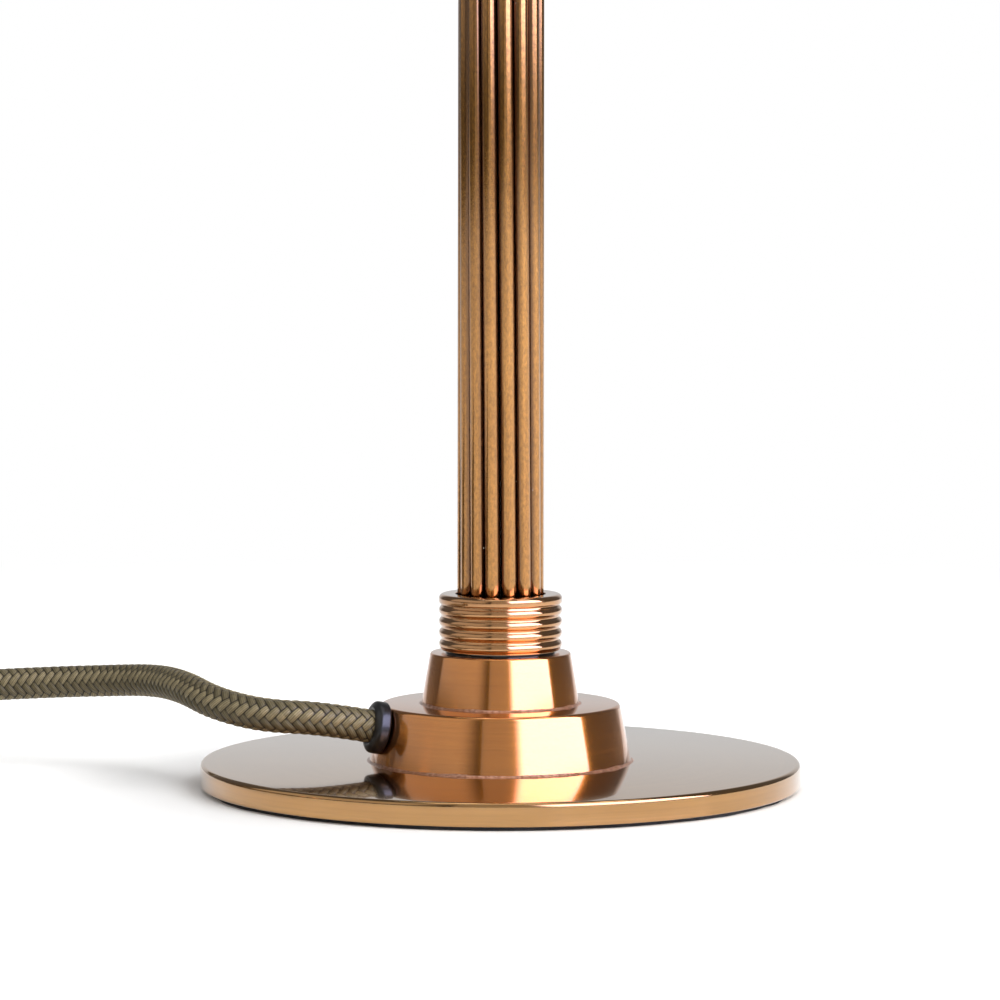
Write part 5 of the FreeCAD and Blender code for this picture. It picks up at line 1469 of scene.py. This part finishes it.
# ------------------------------------------------------------------ shade
@dataclass
class Shade:
    """Tapered linen shade on its wires. Sizes in millimetres."""

    foot_z: float = 334.9
    height: float = 170.0
    foot_r: float = 120.0
    top_r: float = 90.0
    wall: float = 1.0
    hem: float = 8.0
    hem_thick: float = 0.6
    edge: float = 0.3
    wire_r: float = 1.5
    carrier_bore_r: float = 20.9
    carrier_r: float = 27.0
    carrier_z: float = 346.9
    carrier_thick: float = 1.5
    spokes: int = 3
    lap: float = 10.0

    def radius(self, z: float) -> float:
        """Outer radius of the linen at a height."""
        return self.foot_r + (self.top_r - self.foot_r) * (z - self.foot_z) / self.height

    def slant(self) -> float:
        """Height of the linen along its slope."""
        return math.hypot(self.height, self.foot_r - self.top_r)

    def build(self, linen: bpy.types.Material, tape: bpy.types.Material, lining: bpy.types.Material,
              white_wire: bpy.types.Material) -> None:
        """Build the wires, the linen, its hems and its overlap."""
        self.wires(white_wire)
        top = self.foot_z + self.height
        low_z, high_z = self.foot_z + self.edge, top - self.edge
        cover = turned("shade_linen_cover", [
            (self.radius(low_z) - self.wall, low_z), (self.radius(low_z), low_z),
            (self.radius(high_z), high_z), (self.radius(high_z) - self.wall, high_z),
            (self.radius(low_z) - self.wall, low_z)], 256)
        settle(cover, linen, "shade_linen", "shade_cover", body="shade")
        cover.data.materials.append(lining)
        for face in cover.data.polygons:
            outward = face.normal.x * face.center.x + face.normal.y * face.center.y
            face.material_index = 0 if outward > 0 else 1
        low_hem = self.tape_ring("shade_hem_low", self.foot_z, 1.0)
        top_hem = self.tape_ring("shade_hem_top", top, -1.0)
        seam = self.overlap()
        for piece in (low_hem, top_hem, seam):
            settle(piece, linen if piece is seam else tape, "shade_linen", body="shade")
        area = (math.pi * (self.radius(low_z) + self.radius(high_z)) * self.slant()
                * (high_z - low_z) / self.height)

    def tape_ring(self, name: str, edge_z: float, up: float) -> bpy.types.Object:
        """Folded tape round one edge, outside and a little way inside."""
        inner_end = edge_z + up * self.hem * 0.6
        end = edge_z + up * self.hem
        fold = edge_z + up * self.edge
        return turned(name, rounded([
            (self.radius(end), end), (self.radius(end) + self.hem_thick, end, 0.25),
            (self.radius(edge_z) + self.hem_thick, edge_z, 0.5),
            (self.radius(edge_z) - self.wall - self.edge, edge_z, 0.25),
            (self.radius(inner_end) - self.wall - self.edge, inner_end),
            (self.radius(inner_end) - self.wall, inner_end), (self.radius(fold) - self.wall, fold),
            (self.radius(fold), fold), (self.radius(end), end)], 4), 256)

    def overlap(self) -> bpy.types.Object:
        """Lapped seam down the back of the linen."""
        strips = 6
        lay_off()
        low, high = self.foot_z + self.hem, self.foot_z + self.height - self.hem
        middle = (low + high) / 2
        bpy.ops.mesh.primitive_grid_add(x_subdivisions=strips, y_subdivisions=2, size=1.0)
        seam = bpy.context.active_object
        seam.name = "shade_linen_lap"
        for vertex in seam.data.vertices:
            share = vertex.co.y + 0.5
            z = low + (high - low) * share
            radius = self.radius(z)
            angle = math.pi / 2 + vertex.co.x * self.lap / self.radius(middle)
            vertex.co = Vector((radius * math.cos(angle), radius * math.sin(angle), z)) * MM
        bpy.ops.object.mode_set(mode="EDIT")
        face_outward()
        if seam.data.polygons[0].normal.y < 0:
            seam.data.flip_normals()
        thick = seam.modifiers.new("cloth", "SOLIDIFY")
        thick.thickness = 0.35 * MM
        thick.offset = 1.0
        apply_modifiers(seam)
        smooth(seam)
        return seam

    def wires(self, white: bpy.types.Material) -> None:
        """Top ring, and the carrier: bottom ring, spokes and the flat washer they meet."""
        top_z = self.foot_z + self.height - self.wire_r - 1.0
        top_r = self.radius(top_z) - self.wall - self.wire_r - 0.1
        low_z = self.foot_z + self.wire_r + 1.0
        low_r = self.radius(low_z) - self.wall - self.wire_r - 0.4
        top_ring = self.ring(top_r, top_z)
        top_ring.name = "shade_top_ring"
        settle(top_ring, white, "wire_white", "shade_top_wire", body="shade")
        parts = [self.ring(low_r, low_z)]
        parts.append(turned("washer", rounded([
            (self.carrier_bore_r, self.carrier_z), (self.carrier_r, self.carrier_z, 0.3),
            (self.carrier_r, self.carrier_z + self.carrier_thick, 0.3),
            (self.carrier_bore_r, self.carrier_z + self.carrier_thick),
            (self.carrier_bore_r, self.carrier_z)], 4), 96))
        for i in range(self.spokes):
            angle = math.radians(90 + 360 * i / self.spokes)
            out = Vector((math.cos(angle), math.sin(angle), 0))
            start = out * (self.carrier_r - 0.4) + Vector((0, 0, self.carrier_z + self.carrier_thick / 2))
            parts.append(bar_between(start, out * low_r + Vector((0, 0, low_z)), self.wire_r, 24))
        frame_piece = joined(parts)
        frame_piece.name = "shade_carrier_frame"
        smooth(frame_piece)
        settle(frame_piece, white, "wire_white", "shade_carrier", body="shade")

    def ring(self, radius: float, z: float) -> bpy.types.Object:
        """A round wire bent to a ring."""
        lay_off()
        bpy.ops.mesh.primitive_torus_add(major_radius=radius * MM, minor_radius=self.wire_r * MM,
                                         major_segments=192, minor_segments=20, location=(0, 0, z * MM))
        ring = bpy.context.active_object
        bpy.ops.object.transform_apply(location=True, rotation=True, scale=True)
        smooth(ring)
        return ring


# ------------------------------------------------------------------ tie and plug
@dataclass
class Tie:
    """Flat strap round the coil's turns, with its end lapped on top. Sizes in millimetres."""

    coil_x: float = -168.0
    coil_y: float = -10.3
    azimuth: float = -60.0
    inner_r: float = 23.6
    outer_r: float = 56.775
    height: float = 16.1
    corner: float = 2.0
    width: float = 12.0
    thick: float = 0.6
    lap: tuple[float, float] = (33.405, 47.405)

    def build(self, webbing: bpy.types.Material) -> None:
        """Build the strap and its lapped end."""
        middle = (self.inner_r + self.outer_r) / 2
        strap = draw_section(rounded([
            (middle, 0), (self.outer_r, 0, self.corner), (self.outer_r, self.height, self.corner),
            (self.inner_r, self.height, self.corner), (self.inner_r, 0, self.corner), (middle, 0)], 10))
        self.widen(strap)
        lap = draw_section([(self.lap[0], self.height), (self.lap[1], self.height)])
        self.widen(lap, 1.0)
        whole = joined([strap, lap])
        whole.name = "coil_strap"
        turn = Matrix.Rotation(math.radians(self.azimuth), 4, "Z")
        whole.data.transform(Matrix.Translation((self.coil_x * MM, self.coil_y * MM, 0)) @ turn)
        settle(whole, webbing, "tie_plastic", "cord_tie")

    def widen(self, strap: bpy.types.Object, side: float = -1.0) -> None:
        """Give a drawn line the strap's width and thickness, and ease its edges.

        Args:
            strap: the drawn line, in edit mode.
            side: -1 puts the thickness inside the line, 1 above it.
        """
        weld()
        bpy.ops.transform.translate(value=(0, -self.width / 2 * MM, 0))
        bpy.ops.mesh.extrude_region_move(TRANSFORM_OT_translate={"value": (0, self.width * MM, 0)})
        face_outward()
        if side > 0 and strap.data.polygons[0].normal.z < 0:
            strap.data.flip_normals()
        thick = strap.modifiers.new("webbing", "SOLIDIFY")
        thick.thickness = self.thick * MM
        thick.offset = side
        ease_edges(strap, 0.15)
        smooth(strap)


@dataclass
class Plug:
    """Three-pin plug that lies on its back, in two moulded halves. Sizes in millimetres."""

    x: float = -215.534
    y: float = -65.298
    width: float = 50.0
    length: float = 49.0
    shoulder: float = 30.38
    nose: float = 24.0
    half: float = 10.0
    joint: float = 0.2
    cord_r: float = 3.5
    cord_depth: float = 6.0

    def build(self, plastic: bpy.types.Material) -> None:
        """Build the cover below and the body above."""
        bore = self.bore()
        cover = self.moulding("plug_cover_moulded", 0.0, 2.0, 0.0)
        cut(cover, copied(bore, Matrix.Identity(4)))
        smooth(cover, 35.0)
        settle(cover, plastic, "plug_plastic", "plug_cover")
        body = self.moulding("plug_body_moulded", self.half + self.joint, 1.0, 2 * self.half + self.joint)
        cut(body, bore)
        smooth(body, 35.0)
        settle(body, plastic, "plug_plastic", "plug_body")

    def bore(self) -> bpy.types.Object:
        """Cutter for the way in of the flex."""
        lay_off()
        bpy.ops.mesh.primitive_cylinder_add(
            vertices=48, radius=(self.cord_r + 0.1) * MM, depth=(self.cord_depth + 4.0) * MM,
            location=(self.x * MM, (self.y - self.cord_depth / 2 + 2.0) * MM, (self.half + 0.1) * MM),
            rotation=(math.pi / 2, 0, 0))
        bore = bpy.context.active_object
        bpy.ops.object.transform_apply(location=True, rotation=True, scale=True)
        return bore

    def moulding(self, name: str, low_z: float, rounding: float, rim_z: float) -> bpy.types.Object:
        """One half: the outline drawn out, its outer rim rounded and its joint edge eased.

        Args:
            name: name of the piece.
            low_z: height of its underside.
            rounding: rounding of the outer rim.
            rim_z: height of that rim.

        Returns:
            The piece, in its place.
        """
        half, nose = self.width / 2, self.nose / 2
        moulding = draw_section(rounded([
            (0, 0), (half, 0, 9), (half, -self.shoulder, 7), (nose, -self.length, 7),
            (-nose, -self.length, 7), (-half, -self.shoulder, 7), (-half, 0, 9), (0, 0)], 10))
        moulding.name = name
        weld()
        bpy.ops.mesh.edge_face_add()
        bpy.ops.mesh.extrude_region_move(TRANSFORM_OT_translate={"value": (0, -self.half * MM, 0)})
        face_outward()
        moulding.data.transform(Matrix.Translation((self.x * MM, self.y * MM, low_z * MM))
                                @ Matrix.Rotation(-math.pi / 2, 4, "X"))
        for edge in moulding.data.edges:
            ends = [moulding.data.vertices[i].co.z / MM for i in edge.vertices]
            edge.select = all(abs(z - rim_z) < 0.01 for z in ends)
        bpy.ops.object.mode_set(mode="EDIT")
        bpy.ops.mesh.select_mode(type="EDGE")
        bpy.ops.mesh.bevel(offset=rounding * MM, segments=6, affect="EDGES")
        bpy.ops.object.mode_set(mode="OBJECT")
        ease_edges(moulding, 0.35)
        return moulding


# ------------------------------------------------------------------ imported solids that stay
def dress_inner_pieces(finishes: dict[str, bpy.types.Material]) -> None:
    """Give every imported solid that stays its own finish."""
    table = {
        "zinc": ("cord_grip_screws", "core_tube", "lock_nut", "plug_screw"),
        "contact": ("thread_shell", "centre_contact", "terminal_blocks", "terminal_screws", "switch_bridge",
                    "plug_earth_pin", "plug_line_pins"),
        "phenolic": ("lampholder_insert",), "nylon": ("cord_grip_base", "cord_grip_strap"),
        "textile": ("inner_flex",), "brown": ("live_core",), "blue": ("neutral_core",),
        "green": ("earth_core",), "ceramic": ("plug_fuse",),
    }
    for key, nodes in table.items():
        for node in nodes:
            dress(node, finishes[key])
    LOG.info("packed solids that stay are dressed")


def main() -> None:
    """Build the lamp's pieces in order and report each one."""
    logging.basicConfig(level=logging.INFO, format="%(name)s: %(message)s")
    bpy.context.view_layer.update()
    Studio().build()
    weave = BraidWeave()
    flex = Flex()
    braid = flex.build(BraidedTextile("olive_braid", weave).build(), weave)
    turned_brass = LacqueredBrass("turned_brass", Grain.TURNED, (0.78, 0.275, 0.032), (0.50, 0.145, 0.015),
                                  roughness=0.20, coat_ior=1.8).build()
    plate_brass = LacqueredBrass("plate_brass", Grain.TURNED, (0.53, 0.28, 0.09), (0.34, 0.15, 0.04),
                                 roughness=0.12, anisotropy=0.35,
                                 coat_roughness=0.02, speckle=1.2e-6).build()
    collar_brass = LacqueredBrass("collar_brass", Grain.TURNED, roughness=0.14, shade_collar_gaps=True).build()
    drawn_brass = LacqueredBrass("drawn_brass", Grain.DRAWN, (0.50, 0.225, 0.046), (0.24, 0.088, 0.011),
                                 roughness=0.19, anisotropy=0.0, coat_roughness=0.12, speckle=9.0e-6,
                                 mottle=0.26, crevice_shade_radius=0.00908).build()
    zinc = PlainMetal("zinc_plate", (0.60, 0.61, 0.60), 0.34).build()
    Base().build(turned_brass, plate_brass, Solder().build(),
                 Rubber("pad_rubber_sheet", (0.012, 0.012, 0.013), 0.8).build(),
                 Rubber("bush_rubber", (0.005, 0.005, 0.006), 0.36, 0.22).build(), zinc)
    Column().build(collar_brass, drawn_brass)
    phenolic = Moulded("black_phenolic", (0.018, 0.013, 0.011), 0.22, 4.0e-6).build()
    aluminium = PlainMetal("plain_aluminium", (0.78, 0.78, 0.77), 0.25).build()
    Lampholder().build(turned_brass, phenolic)
    Bulb().build(ClearGlass().build(), aluminium, phenolic,
                 Moulded("filament_coating", (0.82, 0.52, 0.12), 0.6, 2.0e-5, 2500.0).build())
    natural = (0.80, 0.745, 0.62)
    Shade().build(Linen("natural_linen", natural).build(),
                  Linen("linen_tape", (0.78, 0.72, 0.59), 0.55 * MM).build(),
                  Moulded("lining_white", (0.84, 0.83, 0.80), 0.55, 1.5e-5, 400.0).build(),
                  Moulded("white_powder_coat", (0.83, 0.83, 0.81), 0.32, 2.5e-5, 1300.0).build())
    Tie().build(Moulded("strap_webbing", (0.016, 0.016, 0.017), 0.85, 1.2e-4, 2200.0).build())
    Plug().build(Moulded("plug_moulding", (0.014, 0.014, 0.015), 0.38, 1.0e-5, 1800.0).build())
    dress_inner_pieces({
        "zinc": zinc, "contact": PlainMetal("bright_brass", (0.82, 0.57, 0.25), 0.22).build(),
        "phenolic": phenolic, "nylon": Moulded("natural_nylon", (0.70, 0.67, 0.60), 0.45).build(),
        "textile": Rubber("inner_textile", (0.13, 0.115, 0.07), 0.8).build(),
        "brown": Moulded("core_brown", (0.10, 0.035, 0.012), 0.4).build(),
        "blue": Moulded("core_blue", (0.02, 0.08, 0.36), 0.4).build(),
        "green": Moulded("core_green", (0.10, 0.28, 0.03), 0.4).build(),
        "ceramic": Moulded("fuse_ceramic", (0.78, 0.76, 0.70), 0.3).build()})


if __name__ == "__main__":
    main()
